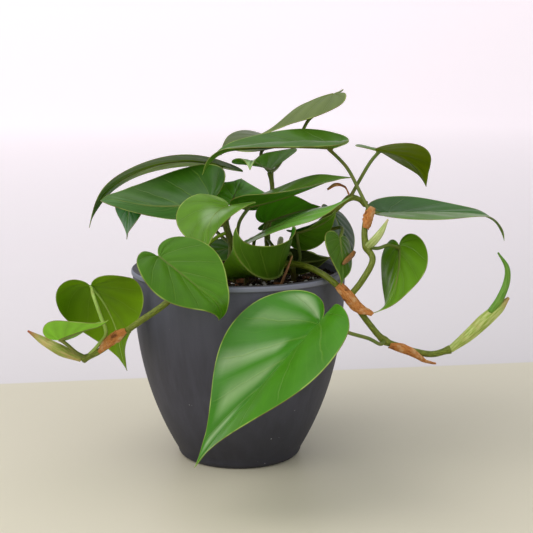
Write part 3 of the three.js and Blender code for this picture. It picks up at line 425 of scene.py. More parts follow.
profile = [(0, POT_FLOOR + SOIL_GAP)]
for h in (POT_FLOOR, 18, 40, 70, 96):
    profile.append((inside_radius(h) - SOIL_GAP, max(h, POT_FLOOR + SOIL_GAP)))
edge_radius = POT_MOUTH_RADIUS - SOIL_GAP
profile += [(edge_radius * k / SOIL_RINGS, SOIL_TOP) for k in range(SOIL_RINGS, -1, -1)]
corners, faces = lathe(profile, SOIL_SEGMENTS)
corners = [(x, y, soil_height(x, y) if z == SOIL_TOP else z) for x, y, z in corners]

soil_finish = Finish("potting_soil", Specular_IOR_Level=0.2, Roughness=0.95)
spot = soil_finish.spot()
clumps = soil_finish.noise(spot, 260, 6, 0.7)
fibres = soil_finish.add("TexVoronoi", "Distance", Vector=spot, Scale=900)
color = soil_finish.blend("#1a120c", "#4a382a", clumps.ramp(0.35, 0.7))
soil_finish.set(Base_Color=color.towards("#6b5642", fibres.ramp(0.5, 0.9) * 0.5))
soil_finish.bump(0.8, 0.0008, clumps)
soil = mesh_piece("soil_bed", corners, faces, [soil_finish.material])
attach(soil, "root")
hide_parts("soil")

# The twelve corners and twenty faces of a lump of about unit half width.
LUMP = [(x / 1.7, y / 1.7, z / 1.7) for x, y, z in (
    (0, -1, 1.6), (0, 1, 1.6), (0, -1, -1.6), (0, 1, -1.6), (1.6, 0, 1), (1.6, 0, -1),
    (-1.6, 0, 1), (-1.6, 0, -1), (-1, 1.6, 0), (1, 1.6, 0), (-1, -1.6, 0), (1, -1.6, 0))]
LUMP_FACES = [(0, 4, 1), (0, 1, 6), (0, 6, 10), (0, 10, 11), (0, 11, 4), (3, 2, 5), (3, 5, 9),
              (3, 9, 8), (3, 8, 7), (3, 7, 2), (4, 5, 11), (11, 5, 2), (11, 2, 10), (10, 2, 7),
              (10, 7, 6), (6, 7, 8), (6, 8, 1), (1, 8, 9), (1, 9, 4), (4, 9, 5)]


def scatter(name, count, size, flatness, material, lift=0.3):
    """Loose lumps lying on the bed, all one piece. Size runs from the least to the greatest
    half width, flatness is the height against the width, and lift is how far a lump's middle
    stands over the bed, as a share of half its height."""
    corners, faces = [], []
    for _ in range(count):
        radius = (POT_MOUTH_RADIUS - BARE_RIM) * math.sqrt(random.random())
        turn = random.uniform(0, 2 * math.pi)
        x, y = radius * math.cos(turn), radius * math.sin(turn)
        half = random.uniform(*size) * random.uniform(0.6, 1)
        shape = (half, half * random.uniform(0.45, 0.9), half * random.uniform(*flatness))
        tilt = Matrix.Rotation(random.uniform(0, 6.28), 3, "Z") @ Matrix.Rotation(
            random.uniform(-0.5, 0.5), 3, "X")
        middle = Vector((x, y, soil_height(x, y) + shape[2] * lift))
        first = len(corners)
        for p in LUMP:
            jag = random.uniform(0.72, 1.12)
            corners.append(middle + tilt @ Vector([c * s * jag for c, s in zip(p, shape)]))
        faces += [tuple(first + k for k in face) for face in LUMP_FACES]
    piece = mesh_piece(name, corners, faces, [material])
    piece.data.set_sharp_from_angle(angle=math.radians(20))
    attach(piece, "root")


# Two tones in fine patches, as a group that the three kinds of grain use.
patching, given, result = open_group("grain_patches", (
    ("INPUT", "Vector", ("Spot",)), ("INPUT", "Float", ("Scale",)), ("INPUT", "Color", ("Dark", "Light")),
    ("OUTPUT", "Color", ("Color",)), ("OUTPUT", "Float", ("Height",))))
patches = patching.noise(given["Spot"], given["Scale"], 4)
patching.put(result["Color"], given["Dark"].towards(given["Light"], patches.ramp(0.35, 0.65)))
patching.put(result["Height"], patches)


def grain_finish(name, dark, light, scale):
    """The finish of one kind of grain."""
    finish = Finish(name, Specular_IOR_Level=0.2, Roughness=0.9)
    marks = finish.add("Group", "Color", {"node_tree": patching.tree}, Spot=finish.spot(), Scale=scale,
                       Dark=dark, Light=light)
    finish.set(Base_Color=marks)
    finish.bump(0.5, 0.0003, marks.also("Height"))
    return finish.material


random.seed(7)
scatter("soil_crumbs", 1500, (0.6, 2.0), (0.5, 0.9), grain_finish("soil_crumb", "#1d140e", "#553f2e", 420))
scatter("soil_perlite", 150, (0.7, 1.7), (0.6, 0.9), grain_finish("perlite", "#c9c3bd", "#f6f2ee", 700),
        lift=0.8)
scatter("soil_bark", 90, (1.4, 3.6), (0.12, 0.3), grain_finish("bark_chip", "#4d2c1a", "#8a5c3a", 330),
        lift=1.2)

# The vines. Round green stems, ridged along their length and swollen at each joint, that start
# brown in the soil. Two trail over the rim to the sides, one over the back, and the rest stand.
VINE_SIDES = 18
VINE_STEP = 1.2
VINE_RIDGES = 5
VINE_RIDGE_DEPTH = 0.035
VINE_BETWEEN_JOINTS = 0.94
VINE_UNEVENNESS = 0.09
JOINT_REACH = 2.4
JOINT_SWELL = 0.34
CURVE_POINTS = 400
VINES = {
    "stem_left_trail": dict(
        radius=1.8,
        path=[(-21, -30, 90), (-21, -30, 98), (-21, -30, 105), (-22, -38, 111), (-25, -50, 113),
              (-29, -58, 108), (-38, -59, 99), (-52, -58, 89), (-62, -54, 81), (-74, -48, 71),
              (-83, -45, 66)],
        joints=[(-62, -54, 81), (-83, -45, 66)],
    ),
    "stem_right_trail": dict(
        radius=1.8,
        path=[(14, -22, 90), (14, -22, 104), (19, -23, 110), (27, -27, 113.5), (36, -34, 113.5),
              (46, -41, 109.5), (53, -44, 104), (60, -45, 97), (68, -47, 86), (77, -48, 76),
              (85, -49, 73), (94, -49, 70), (103, -48, 68.5), (112, -48, 71)],
        joints=[(58, -45, 99), (77, -48, 76), (112, -48, 71)],
        branch=[(58, -45, 99), (65, -42, 107), (71, -38, 118), (68, -34, 124), (67, -32, 130),
                (68, -29, 137), (70, -26, 142)],
        branch_joints=[(68, -34, 124), (70, -26, 142)],
    ),
    "stem_right_tall": dict(
        radius=1.5,
        path=[(32, -4, 90), (32, -4, 104), (35, -6, 118), (40, -8, 128), (46, -8, 134),
              (54, -9, 141), (61, -9, 147), (66, -7, 146), (70, -6, 143)],
        joints=[(46, -8, 134), (61, -9, 147), (70, -6, 143)],
    ),
    "stem_center_left": dict(
        radius=2,
        path=[(-3, -12, 90), (-3, -12, 104), (-4, -14, 114), (-4, -14, 122), (-6, -13, 129),
              (-8, -12, 136)],
        joints=[(-4, -14, 114), (-8, -12, 136)],
    ),
    "stem_center": dict(
        radius=1.5, path=[(4, -20, 90), (4, -20, 104), (4, -20, 112)], joints=[(4, -20, 112)],
    ),
    "stem_center_tall": dict(
        radius=1.4,
        path=[(16, 4, 90), (16, 4, 104), (16, 6, 122), (18.5, 13, 140), (19, 16, 150), (18, 18, 158)],
        joints=[(16, 6, 122), (18, 18, 158)],
    ),
    "stem_center_low": dict(
        radius=1.6, path=[(30, -15, 90), (30, -15, 104), (29, -16, 110)], joints=[(29, -16, 110)],
    ),
    "stem_back_trail": dict(
        radius=1.7,
        path=[(24, 26, 90), (24, 26, 98), (24, 26, 105), (24, 36, 111), (25, 50, 114), (25, 60, 112),
              (24, 66, 104), (20, 68, 92), (14, 68, 80), (8, 67, 68)],
        joints=[(24, 66, 104), (14, 68, 80), (8, 67, 68)],
    ),
}


def smooth_path(path, count):
    """Points on the centripetal curve through a path."""
    given = np.array(path, float)
    padded = np.vstack([2 * given[0] - given[1], given, 2 * given[-1] - given[-2]])
    spans = len(given) - 1
    made = []
    for place in np.linspace(0, spans, count):
        k = min(int(place), spans - 1)
        p = padded[k:k + 4]
        knots = np.concatenate([[0], np.cumsum(np.sqrt(np.linalg.norm(np.diff(p, axis=0), axis=1)))])
        at = knots[1] + (knots[2] - knots[1]) * (place - k)

        def blend(i, j, a, b):
            return ((knots[j] - at) * a + (at - knots[i]) * b) / (knots[j] - knots[i])

        first = [blend(i, i + 1, p[i], p[i + 1]) for i in range(3)]
        second = [blend(i, i + 2, first[i], first[i + 1]) for i in range(2)]
        made.append(blend(1, 2, second[0], second[1]))
    return np.array(made)


def path_length(points):
    return np.linalg.norm(np.diff(points, axis=0), axis=1).sum()


def stepped_path(path, step, least):
    """Points about a step apart, but no fewer than the least number, on the curve through a path."""
    length = path_length(smooth_path(path, CURVE_POINTS))
    return smooth_path(path, max(least, int(length / step)))


def directions(points):
    """Unit directions along a row of points."""
    ahead = np.gradient(points, axis=0)
    return ahead / np.linalg.norm(ahead, axis=1, keepdims=True)


def tube(points, radii, sides, ridges=0, ridge_depth=0.0):
    """Corners, faces and (round, along) values of a rod whose section may have ridges. Its ends
    are drawn in to a point."""
    ahead = directions(points)
    lengths = np.concatenate([[0], np.cumsum(np.linalg.norm(np.diff(points, axis=0), axis=1))])
    # Any direction that no path starts in will do.
    across = np.array((0.3, 0.2, 1.0))
    corners = []
    for centre, forward, radius in zip(points, ahead, radii):
        across = across - forward * across.dot(forward)
        across /= np.linalg.norm(across)
        up = np.cross(forward, across)
        for k in range(sides):
            angle = 2 * math.pi * k / sides
            reach = radius * (1 + ridge_depth * math.cos(ridges * angle))
            corners.append(centre + reach * (math.cos(angle) * across + math.sin(angle) * up))
    faces, values = [], []
    for i in range(len(points) - 1):
        for k in range(sides):
            a, b = i * sides + k, i * sides + (k + 1) % sides
            faces.append((a, b, b + sides, a + sides))
            values += [(k / sides, lengths[i], 0), ((k + 1) / sides, lengths[i], 0),
                       ((k + 1) / sides, lengths[i + 1], 0), (k / sides, lengths[i + 1], 0)]
    for ring, centre, forward, radius, turn in (
            (0, points[0], -ahead[0], radii[0], -1),
            ((len(points) - 1) * sides, points[-1], ahead[-1], radii[-1], 1)):
        tip = len(corners)
        corners.append(centre + forward * radius * 0.5)
        for k in range(sides):
            pair = (ring + k, ring + (k + 1) % sides)[::turn]
            faces.append((*pair, tip))
            values += [(k / sides, lengths[-1] if turn > 0 else 0, 0)] * 3
    return np.array(corners), faces, values


def join_parts(parts):
    """Several (corners, faces, values) as one."""
    corners, faces, values, first = [], [], [], 0
    for more_corners, more_faces, more_values in parts:
        corners.append(more_corners)
        faces += [tuple(first + k for k in face) for face in more_faces]
        values += more_values
        first += len(more_corners)
    return np.vstack(corners), faces, values


def vine_tube(path, joints, radius):
    points = stepped_path(path, VINE_STEP, 8)
    radii = np.full(len(points), radius * VINE_BETWEEN_JOINTS)
    for joint in joints:
        distance = np.linalg.norm(points - np.array(joint), axis=1)
        radii += radius * JOINT_SWELL * np.exp(-(distance / JOINT_REACH) ** 2)
    radii += [VINE_UNEVENNESS * noise.noise(Vector(p) / 3) for p in points]
    return tube(points, radii, VINE_SIDES, VINE_RIDGES, VINE_RIDGE_DEPTH)


vine_finish = Finish("vine_skin", Specular_IOR_Level=0.4)
spot = vine_finish.spot()
stripes = long_streaks(vine_finish, vine_finish.carried("skin"), (26, 0.35, 1), 3)
patches = vine_finish.noise(spot, 120, 4)
_, _, height = vine_finish.split(spot)
from_middle = vine_finish.add("VectorMath", "Value", {"operation": "LENGTH"},
                              Vector=vine_finish.stretched(spot, (1, 1, 0)))
in_soil = height.ramp(0.113, 0.104) * from_middle.ramp(0.056, 0.05)
color = vine_finish.blend("#56640f", "#84922a", stripes.ramp(0.35, 0.68))
color = color.towards("#6f5f1a", patches.ramp(0.5, 0.72) * 0.4).towards("#4c3b1b", in_soil * 0.8)
vine_finish.set(Base_Color=color, Roughness=0.38 + patches * 0.25)
vine_finish.bump(0.5, 0.0003, stripes)

for name, vine in VINES.items():
    parts = [vine_tube(vine["path"], vine["joints"], vine["radius"])]
    if "branch" in vine:
        parts.append(vine_tube(vine["branch"], vine["branch_joints"], vine["radius"]))
    corners, faces, values = join_parts(parts)
    piece = mesh_piece("vine_" + name[5:], corners, faces, [vine_finish.material],
                       {("skin", "FLOAT_VECTOR"): values})
    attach(piece, "root")
    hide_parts(name)

# The leaves. Each is a thin heart-shaped blade with a drip tip, glossy above and duller below, its
# midrib and side veins sunk in the top and raised underneath, on a long round stalk.

# A leaf has the tones of its two sides, its stalk's path, the place where its blade starts, its
# size in millimetres and the turns in degrees that set and bend it. Marks are patches of another
# tone: some are the leaf's own colour, and others are painted sheen or painted shade. Their spans
# go across from edge to edge, along the midrib, or in a fan between two veins.
LEAVES = {
    "leaf_front_large": dict(
        slot="leaf_bright", top="#3b7c0c", under="#5f8f24",
        stalk=[(77, -48, 76), (74, -56, 76), (67, -64, 81), (56, -72, 86), (48, -79, 91)],
        # Painted sheen and the leaf's own paler mottling in one: the first five marks are pale bands
        # between the veins, where the gloss shows.
        marks=[dict(on="top", across=(0.25, 0.9), fan=(0.22, 0.3), tone="#aac494", much=0.85, soft=0.09),
               dict(on="top", across=(0.3, 0.85), fan=(0.4, 0.44), tone="#93b378", much=0.6, soft=0.06),
               dict(on="top", across=(0.25, 0.95), fan=(0.56, 0.61), tone="#a2be8a", much=0.8, soft=0.06),
               dict(on="top", across=(0.12, 0.8), fan=(0.69, 0.79), tone="#93b378", much=0.75, soft=0.08),
               dict(on="top", across=(0.2, 0.8), fan=(0.88, 0.94), tone="#a6c18f", much=0.7, soft=0.06),
               dict(on="top", across=(-2, -0.05), tone="#46850a", much=0.7)],
        base=(39.2, -91.7, 94.7), length=93, width=88.7, heading=204.4, pitch=-40, roll=-14.9,
        droop=11.2, curl=6, bend=3.7, twist=-9.7, fold=(50.4, -17.9), cup=(-53.6, 43.6), lobe=17.9,
    ),
    "leaf_rim_left": dict(
        slot="leaf_bright", top="#4b7d0d", under="#5c8526",
        stalk=[(-25, -50, 113), (-31, -56, 118), (-36, -62, 121)],
        base=(-40, -65, 124), length=50, width=51, heading=-22, pitch=-32, roll=4, droop=8,
        curl=100, bend=-3, twist=30, fold=(18, 10), cup=(1, -25), lobe=23,
    ),
    "leaf_far_left": dict(
        slot="leaf_underside", stalk_tone="#a4c65c", top="#4f8a1c", under="#6c9408",
        stalk=[(-80, -46, 68), (-74, -49, 75), (-70, -50, 81), (-73, -49, 91), (-77, -44, 101)],
        base=(-78.6, -35.6, 103.7), length=55.4, width=51.6, heading=65.5, pitch=-34.9, roll=-12.9,
        droop=103.3, curl=-34.6, bend=43, twist=35.9, fold=(15, -10.1), cup=(-94.1, 30.9),
        lobe=27.8,
    ),
    "leaf_young_left": dict(
        slot="shoot", top="#74b83c", under="#8acb3a",
        stalk=[(-81, -46, 67), (-86, -50, 71), (-90, -51, 75)],
        base=(-94, -50, 78), length=38, width=26, heading=-34, pitch=26, roll=-28, droop=14,
        curl=-24, bend=3, twist=25, fold=(31, 24), cup=(-15, 0), lobe=-9,
    ),
    "leaf_upper_left_back": dict(
        slot="leaf_deep", top="#3f6e1c", under="#7ca312",
        marks=[dict(on="under", along=(0.6, 0.95), tone="#2f6e08", much=0.8, soft=0.2),
               dict(on="under", across=(-2, -0.1), tone="#4f7410", much=0.6)],
        stalk=[(-4, -14, 122), (-12, -2, 127), (-19, 20, 133), (-21, 38, 143), (-17, 44, 154)],
        base=(-10, 38, 160), length=95, width=50, heading=177.5, pitch=17, roll=10, droop=78,
        curl=22, twist=13, fold=(0, -1), cup=(2, 2), lobe=1,
    ),
    "leaf_upper_left_front": dict(
        slot="leaf_deep", top="#315d0d", under="#557336",
        # Painted reflection: the first mark makes the outer part pale grey-green, standing in for the
        # bright surroundings mirrored on it.
        marks=[dict(on="top", along=(0.5, 2), tone="#5c7d48", much=0.75, soft=0.3),
               dict(on="top", across=(-2, 0.25), tone="#4d7a3c", much=0.5, soft=0.3)],
        stalk=[(-8, -12, 136), (-11, -7, 140)],
        base=(-16.3, 0.7, 144.2), length=72.1, width=52.2, heading=152.8, pitch=-16.6, roll=-79.4,
        droop=-41.8, curl=81.7, bend=28.6, twist=22.2, fold=(40.1, -17.4), cup=(49.4, -11.5),
        lobe=11.4,
    ),
    "leaf_left_tip": dict(
        slot="leaf_bright", top="#186c08", under="#55832c",
        stalk=[(-8, -12, 136), (-9, -8, 132), (-14, 2, 132), (-24, 12, 133.5), (-33, 18, 136.5),
               (-42, 22, 139.5), (-54, 23, 139)],
        base=(-62.5, 23, 138.5), length=19.3, width=28, heading=241, pitch=-80, roll=18, twist=37,
    ),
    "leaf_center_folded": dict(
        slot="leaf_bright", top="#57850d", under="#6a9034",
        # Painted sheen: these marks are a pale glossy band, whitish streaks and a pale grey part that stand
        # in for light mirrored on the leaf.
        marks=[dict(on="top", across=(0.5, 2), fan=(-1, 0.34), tone="#85a557", much=0.7),
               dict(on="top", across=(-0.6, 0.35), along=(0.2, 0.5), tone="#b4cba6", much=0.4, soft=0.2),
               dict(on="top", across=(-2, -0.3), fan=(-1, 0.3), tone="#7f9a62", much=0.8)],
        stalk=[(-8, -12, 136), (-7, -19, 140), (-6, -25, 143)],
        base=(-6, -27, 145), length=36, width=49, heading=223, pitch=-6, roll=8, droop=82,
        curl=-37, bend=-19, twist=18, fold=(3, 20), cup=(-2, 2),
    ),
    "leaf_center_back": dict(
        # Painted light: the bright green top stands in for light that the lamps don't bring into the middle
        # of the plant.
        slot="leaf_deep", top="#6cbb1c", under="#4f7a2c",
        stalk=[(-8, -12, 136), (-6, -5, 135), (-5, 6, 136)],
        base=(-4, 14, 141), length=40, width=42, heading=81, pitch=18, roll=7, droop=8,
        fold=(2, 1), cup=(1, 0),
    ),
    "leaf_edge_low": dict(
        slot="leaf_shaded", top="#4a7a1c", under="#466a22",
        stalk=[(-4, -14, 114), (-4, -8, 117)],
        base=(-4, -2, 118), length=33, width=30, heading=190, pitch=-5, roll=-14, droop=14,
    ),
    "leaf_top_right": dict(
        slot="leaf_pale", top="#6b7b44", under="#76885a",
        stalk=[(18, 18, 158), (22, 27, 160), (26, 31, 165), (31, 31, 170), (35, 29, 177),
               (40, 27, 187), (47, 28, 192.5)],
        base=(53.7, 33.4, 201.3), length=48.3, width=35, heading=183.4, pitch=-10.7, roll=-13.5,
        droop=45.3, curl=-38.3, bend=-10.6, twist=-4.4, fold=(-6.2, -26.3), cup=(-10, 11.3),
        lobe=38.7,
    ),
    "leaf_top_back": dict(
        slot="leaf_deep", top="#5b693e", under="#50742c",
        stalk=[(18, 18, 158), (14.5, 23, 161.5), (13, 31, 168)],
        base=(22, 40, 175), length=37, width=50, heading=188, pitch=13, roll=2, droop=44, curl=45,
        bend=-8, twist=-24, fold=(-7, -1),
    ),
    "leaf_under_pale": dict(
        slot="leaf_underside", top="#4f8a22", under="#5f9a0c",
        # Painted sheen: the pale curled tip stands in for light mirrored on it.
        marks=[dict(on="top", along=(0.7, 2), tone="#a5c48c", much=0.9)],
        stalk=[(18, 18, 158)],
        base=(18, 12.5, 160.8), length=45, width=39, heading=254, pitch=9, roll=13, droop=-12,
        curl=66, bend=2, twist=-2, fold=(24, 22), cup=(-6, -6), lobe=20,
    ),
    "leaf_center_shaded": dict(
        # Painted light: the bright green underside stands in for light that shines through the leaf.
        slot="leaf_shaded", top="#335c22", under="#5eac1b",
        stalk=[(16, 6, 122), (14, 5, 126)],
        base=(15, 8, 131), length=33, width=36, heading=9, pitch=22, roll=-40, droop=10,
        curl=1, bend=-11, twist=-7, fold=(15, 10), lobe=-1,
    ),
    "leaf_top_front": dict(
        slot="leaf_bright", top="#436d12", under="#6a9434",
        stalk=[(70, -26, 142), (65, -20, 152.5), (58.5, -13, 164.5)],
        base=(50.7, -7, 174.6), length=77.3, width=58.1, heading=175.6, pitch=3.1, roll=5.3,
        droop=13.7, curl=57.4, bend=2.4, twist=-8.8, fold=(22.9, 9.7), cup=(-45.6, 16.4), lobe=33.4,
    ),
    "leaf_center_upper": dict(
        # Painted light: the underside is painted a brighter green, for light that shines through the leaf.
        slot="leaf_bright", top="#75a03e", under="#5a9420",
        stalk=[(4, -20, 112), (0, -19, 120), (0, -17, 134)],
        base=(4, -14, 143), length=60, width=46, heading=4, pitch=10, roll=-14, droop=-18,
        curl=26, bend=9, twist=29, fold=(16, 19), cup=(-6, -14), lobe=-3,
    ),
    "leaf_center_lower": dict(
        # Painted light: the underside is painted a brighter green, for light that shines through the leaf.
        slot="leaf_bright", top="#76af44", under="#5a961c",
        stalk=[(4, -20, 112), (7, -23, 118)],
        base=(7, -24, 127), length=59, width=46, heading=-4, pitch=29, roll=1, droop=18,
        curl=-24, twist=10, fold=(-2, -3), cup=(-18, 14),
    ),
    "leaf_rim_spike": dict(
        slot="leaf_bright", top="#3c7a1a", under="#5f9012",
        # Painted shade: one half of the underside is darker, for the shadow that falls on it.
        marks=[dict(on="under", across=(-2, 0.1), tone="#38560c", much=0.8, soft=0.3)],
        stalk=[(29, -16, 110), (28, -21, 118), (25, -29, 118)],
        base=(22, -34.5, 110), length=54, width=64, heading=248, pitch=-16, roll=40, droop=-128,
        curl=-30, bend=6, twist=-42, fold=(23, 30), cup=(17, -7), lobe=26,
    ),
    "leaf_cupped": dict(
        slot="leaf_shaded", top="#3c6c12", under="#51810e",
        stalk=[(29, -16, 110), (33, -16, 113)],
        base=(30.7, -16, 129), length=26.9, width=24.3, heading=-4.1, pitch=9.4, roll=-45.5,
        droop=-31.4, curl=-38, bend=14, twist=-8.4, fold=(-20, -8), cup=(-11.6, -60), lobe=22.1,
    ),
    "leaf_dark_low": dict(
        slot="leaf_shaded", top="#2c4c16", under="#35420f",
        stalk=[(16, 6, 122), (18, 0, 120)],
        base=(24.9, -12.2, 112.4), length=26.6, width=15.5, heading=-4.1, pitch=-8, roll=-73.4,
        droop=-14.8, curl=-22.5, bend=21.4, twist=-12.5, fold=(-5, 16.3), cup=(14.5, 8.3), lobe=4.5,
    ),
    "leaf_right_rim_back": dict(
        slot="leaf_deep", top="#134808", under="#3a6020",
        stalk=[(46, -8, 134), (50, 3, 132)],
        base=(54, 14, 135), length=30, width=33, heading=-59, pitch=-51, roll=-31, droop=2,
        curl=11, bend=-2, twist=6,
    ),
    "leaf_right_rim_front": dict(
        slot="leaf_bright", top="#456a14", under="#55782a",
        stalk=[(40, -8, 128), (46, -10.5, 129), (52, -12, 130.5), (56, -19, 132)],
        base=(54, -34, 128), length=27, width=24, heading=-81, pitch=-54, roll=-39, droop=6,
        curl=14, bend=8, twist=-5, fold=(-7, -3), cup=(-6, -8),
    ),
    "leaf_right_upper": dict(
        slot="leaf_underside", top="#55762a", under="#76890d",
        stalk=[(61, -9, 147), (66, -11, 157), (72, -10, 167)],
        base=(76, -8, 173), length=45, width=41, heading=32, pitch=-5, roll=-2, droop=46,
        curl=24, bend=-9, twist=-10, fold=(8, 13), lobe=3,
    ),
    "leaf_right_long": dict(
        slot="leaf_bright", top="#346c0c", under="#6a8a3c",
        marks=[dict(on="top", across=(0.02, 2), tone="#7c9c5a", much=0.6)],
        stalk=[(70, -6, 143), (76, -5, 138)],
        base=(84, -4, 138), length=75, width=56, heading=7, pitch=1, roll=-5, droop=10, curl=73,
        bend=-6, twist=3, fold=(4, 2), cup=(23, -11), lobe=-3,
    ),
    "leaf_right_hanging": dict(
        slot="leaf_bright", top="#5c8a14", under="#6b9424",
        stalk=[(68, -34, 124), (74, -33, 123), (80, -29, 124)],
        base=(87, -20, 122), length=55, width=31, heading=270, pitch=-43, roll=28, droop=-29,
        curl=-26, bend=19, twist=28, fold=(-18, -15), cup=(-6, -20), lobe=-4,
    ),
    "leaf_back_left": dict(
        slot="leaf_bright", top="#48801c", under="#5f8a24",
        stalk=[(14, 68, 80), (6, 70, 84), (-2, 72, 86)],
        base=(-8, 74, 84), length=62, width=46, heading=150, pitch=-58, droop=12, curl=20,
    ),
    "leaf_back_right": dict(
        slot="leaf_deep", top="#3a6c1a", under="#557a26",
        stalk=[(24, 66, 104), (29, 70, 104), (33, 73, 101)],
        base=(36, 75, 97), length=60, width=44, heading=60, pitch=-60, droop=10, curl=25,
    ),
    "leaf_back_low": dict(
        slot="leaf_bright", top="#4a8620", under="#5f8a24",
        stalk=[(8, 67, 68), (6, 71, 64)],
        base=(5, 76, 60), length=46, width=34, heading=95, pitch=-58, droop=8, curl=20,
    ),
}

# Half of the outline as Bezier curves through points (across, along), and the share of it that
# each takes. Across is in half widths and along in lengths.
OUTLINE = [
    (0, 0.42, [(0, 0), (0.1, -0.2), (1, -0.22), (1, 0.19)]),
    (0.42, 0.83, [(1, 0.19), (1, 0.5), (0.46, 0.68), (0.19, 0.83)]),
    (0.83, 1, [(0.19, 0.83), (0.1, 0.9), (0.03, 0.96), (0, 1)]),
]
LOBE_REACH = 0.26
LOBE_BEND_LENGTH = 0.2
CURL_START = 0.7
FRAME_STEP = 0.02
VEIN_FAN_END = 0.3
BLADE_ROWS = 72
SHARES = [0, 0.025, 0.06, 0.12, 0.2, 0.3, 0.4, 0.5, 0.6, 0.7, 0.8, 0.88, 0.95, 1]
BLADE_THICKNESS = 0.45
EDGE_THICKNESS = 0.25
SIDE_VEINS = 7
VEIN_SWEEP = 0.13
VEIN_CURVE = 1.5
VEIN_RAKE = 1.6
QUILT_HEIGHT = 0.4
QUILT_START = 0.06
QUILT_FADE_IN = 0.1
QUILT_END = 0.97
QUILT_FADE_OUT = 0.12
MIDRIB_GROOVE = 0.45
GROOVE_REACH = 1.3
EDGE_WAVE = 0.5
EDGE_WAVES = 2.3
LEAF_SHIFT = 0.37
SIDE_SHIFT = 0.31
LARGEST_RELIEF = 1.2
COMMON_LENGTH = 60
STALK_RADIUS = 1.1
STALK_SIDES = 12
STALK_STEP = 1.5
STALK_THINNING = 0.88
STALK_SWELLINGS = ((0, 0.2, 0.06), (1, 0.12, 0.07))
RIB_POINTS = 40
RIB_SIDES = 8
RIB_START = -0.012
RIB_END = 0.93
RIB_RADIUS = 0.9
RIB_TIP_RADIUS = 0.18
RIB_SINK = 0.12
FAR_FROM_EDGE = 50.0
SIDE_ROUGHNESS = {"top": 0.36, "under": 0.5}
MARK_SOFTNESS = 0.15
EVERYWHERE = (-2, 2)


def outline(t):
    """The half outline at shares of it."""
    made = np.zeros((len(t), 2))
    for start, end, curve in OUTLINE:
        inside = (t >= start) & (t <= end)
        u = ((t[inside] - start) / (end - start))[:, None]
        p, q, r, s = np.array(curve, float)
        made[inside] = (1 - u) ** 3 * p + 3 * (1 - u) ** 2 * u * q + 3 * (1 - u) * u ** 2 * r + u ** 3 * s
    return made


def turn_towards(a, b, angle):
    c, s = math.cos(math.radians(angle)), math.sin(math.radians(angle))
    return a * c + b * s, b * c - a * s


def midrib_frames(leaf):
    """The midrib from the lobes' ends to the tip: places along, points and the directions right
    and up. Angles are in degrees, and fold and cup are given left, then right."""
    heading, pitch = math.radians(leaf["heading"]), math.radians(leaf["pitch"])
    forward = np.array((math.cos(pitch) * math.cos(heading), math.cos(pitch) * math.sin(heading),
                        math.sin(pitch)))
    right = np.array((math.sin(heading), -math.cos(heading), 0))
    up, right = turn_towards(np.cross(right, forward), right, leaf.get("roll", 0))
    base = np.array(leaf["base"], float)
    rows = [(0, base, right, up)]
    ahead, high, at = forward, up, base
    for k in range(1, round(LOBE_REACH / FRAME_STEP) + 1):
        ahead, high = turn_towards(ahead, high, -leaf.get("lobe", 0) * FRAME_STEP / LOBE_BEND_LENGTH)
        at = at - ahead * FRAME_STEP * leaf["length"]
        rows.insert(0, (-k * FRAME_STEP, at, right, high))
    ahead, high, at = forward, up, base
    for k in range(1, round(1 / FRAME_STEP) + 1):
        curling = leaf.get("curl", 0) / (1 - CURL_START) if (k - 0.5) * FRAME_STEP > CURL_START else 0
        ahead, high = turn_towards(ahead, high, -(leaf.get("droop", 0) + curling) * FRAME_STEP)
        ahead, right = turn_towards(ahead, right, leaf.get("bend", 0) * FRAME_STEP)
        right, high = turn_towards(right, high, -leaf.get("twist", 0) * FRAME_STEP)
        at = at + ahead * FRAME_STEP * leaf["length"]
        rows.append((k * FRAME_STEP, at, right, high))
    return [np.array(column) for column in zip(*rows)]


def on_blade(leaf, frames, across, along):
    """Points of the blade's middle surface and the upward directions there."""
    places, points, rights, ups = frames

    def mixed(values):
        return np.stack([np.interp(along, places, values[:, k]) for k in range(3)], -1)

    right, up = mixed(rights), mixed(ups)
    right /= np.linalg.norm(right, axis=-1, keepdims=True)
    up /= np.linalg.norm(up, axis=-1, keepdims=True)
    left_fold, right_fold = leaf.get("fold", (0, 0))
    left_cup, right_cup = leaf.get("cup", (0, 0))
    fold = np.radians(np.where(across > 0, right_fold, left_fold))
    cup = np.radians(np.where(across > 0, right_cup, left_cup))
    # A half that isn't cupped takes next to no cup, because the arc's formula divides by it.
    cup = np.where(cup == 0, 1e-4, cup)
    reach = np.abs(across)
    half = leaf["width"] / 2
    out = (np.sin(fold + cup * reach) - np.sin(fold)) / cup * half
    rise = (np.cos(fold) - np.cos(fold + cup * reach)) / cup * half
    at = mixed(points) + right * (np.sign(across) * out)[..., None] + up * rise[..., None]
    return at, up


def vein_place(round_edge, share):
    """The place round the edge at which the side vein through a place on the blade ends."""
    return round_edge + VEIN_SWEEP * (1 - share) ** VEIN_CURVE


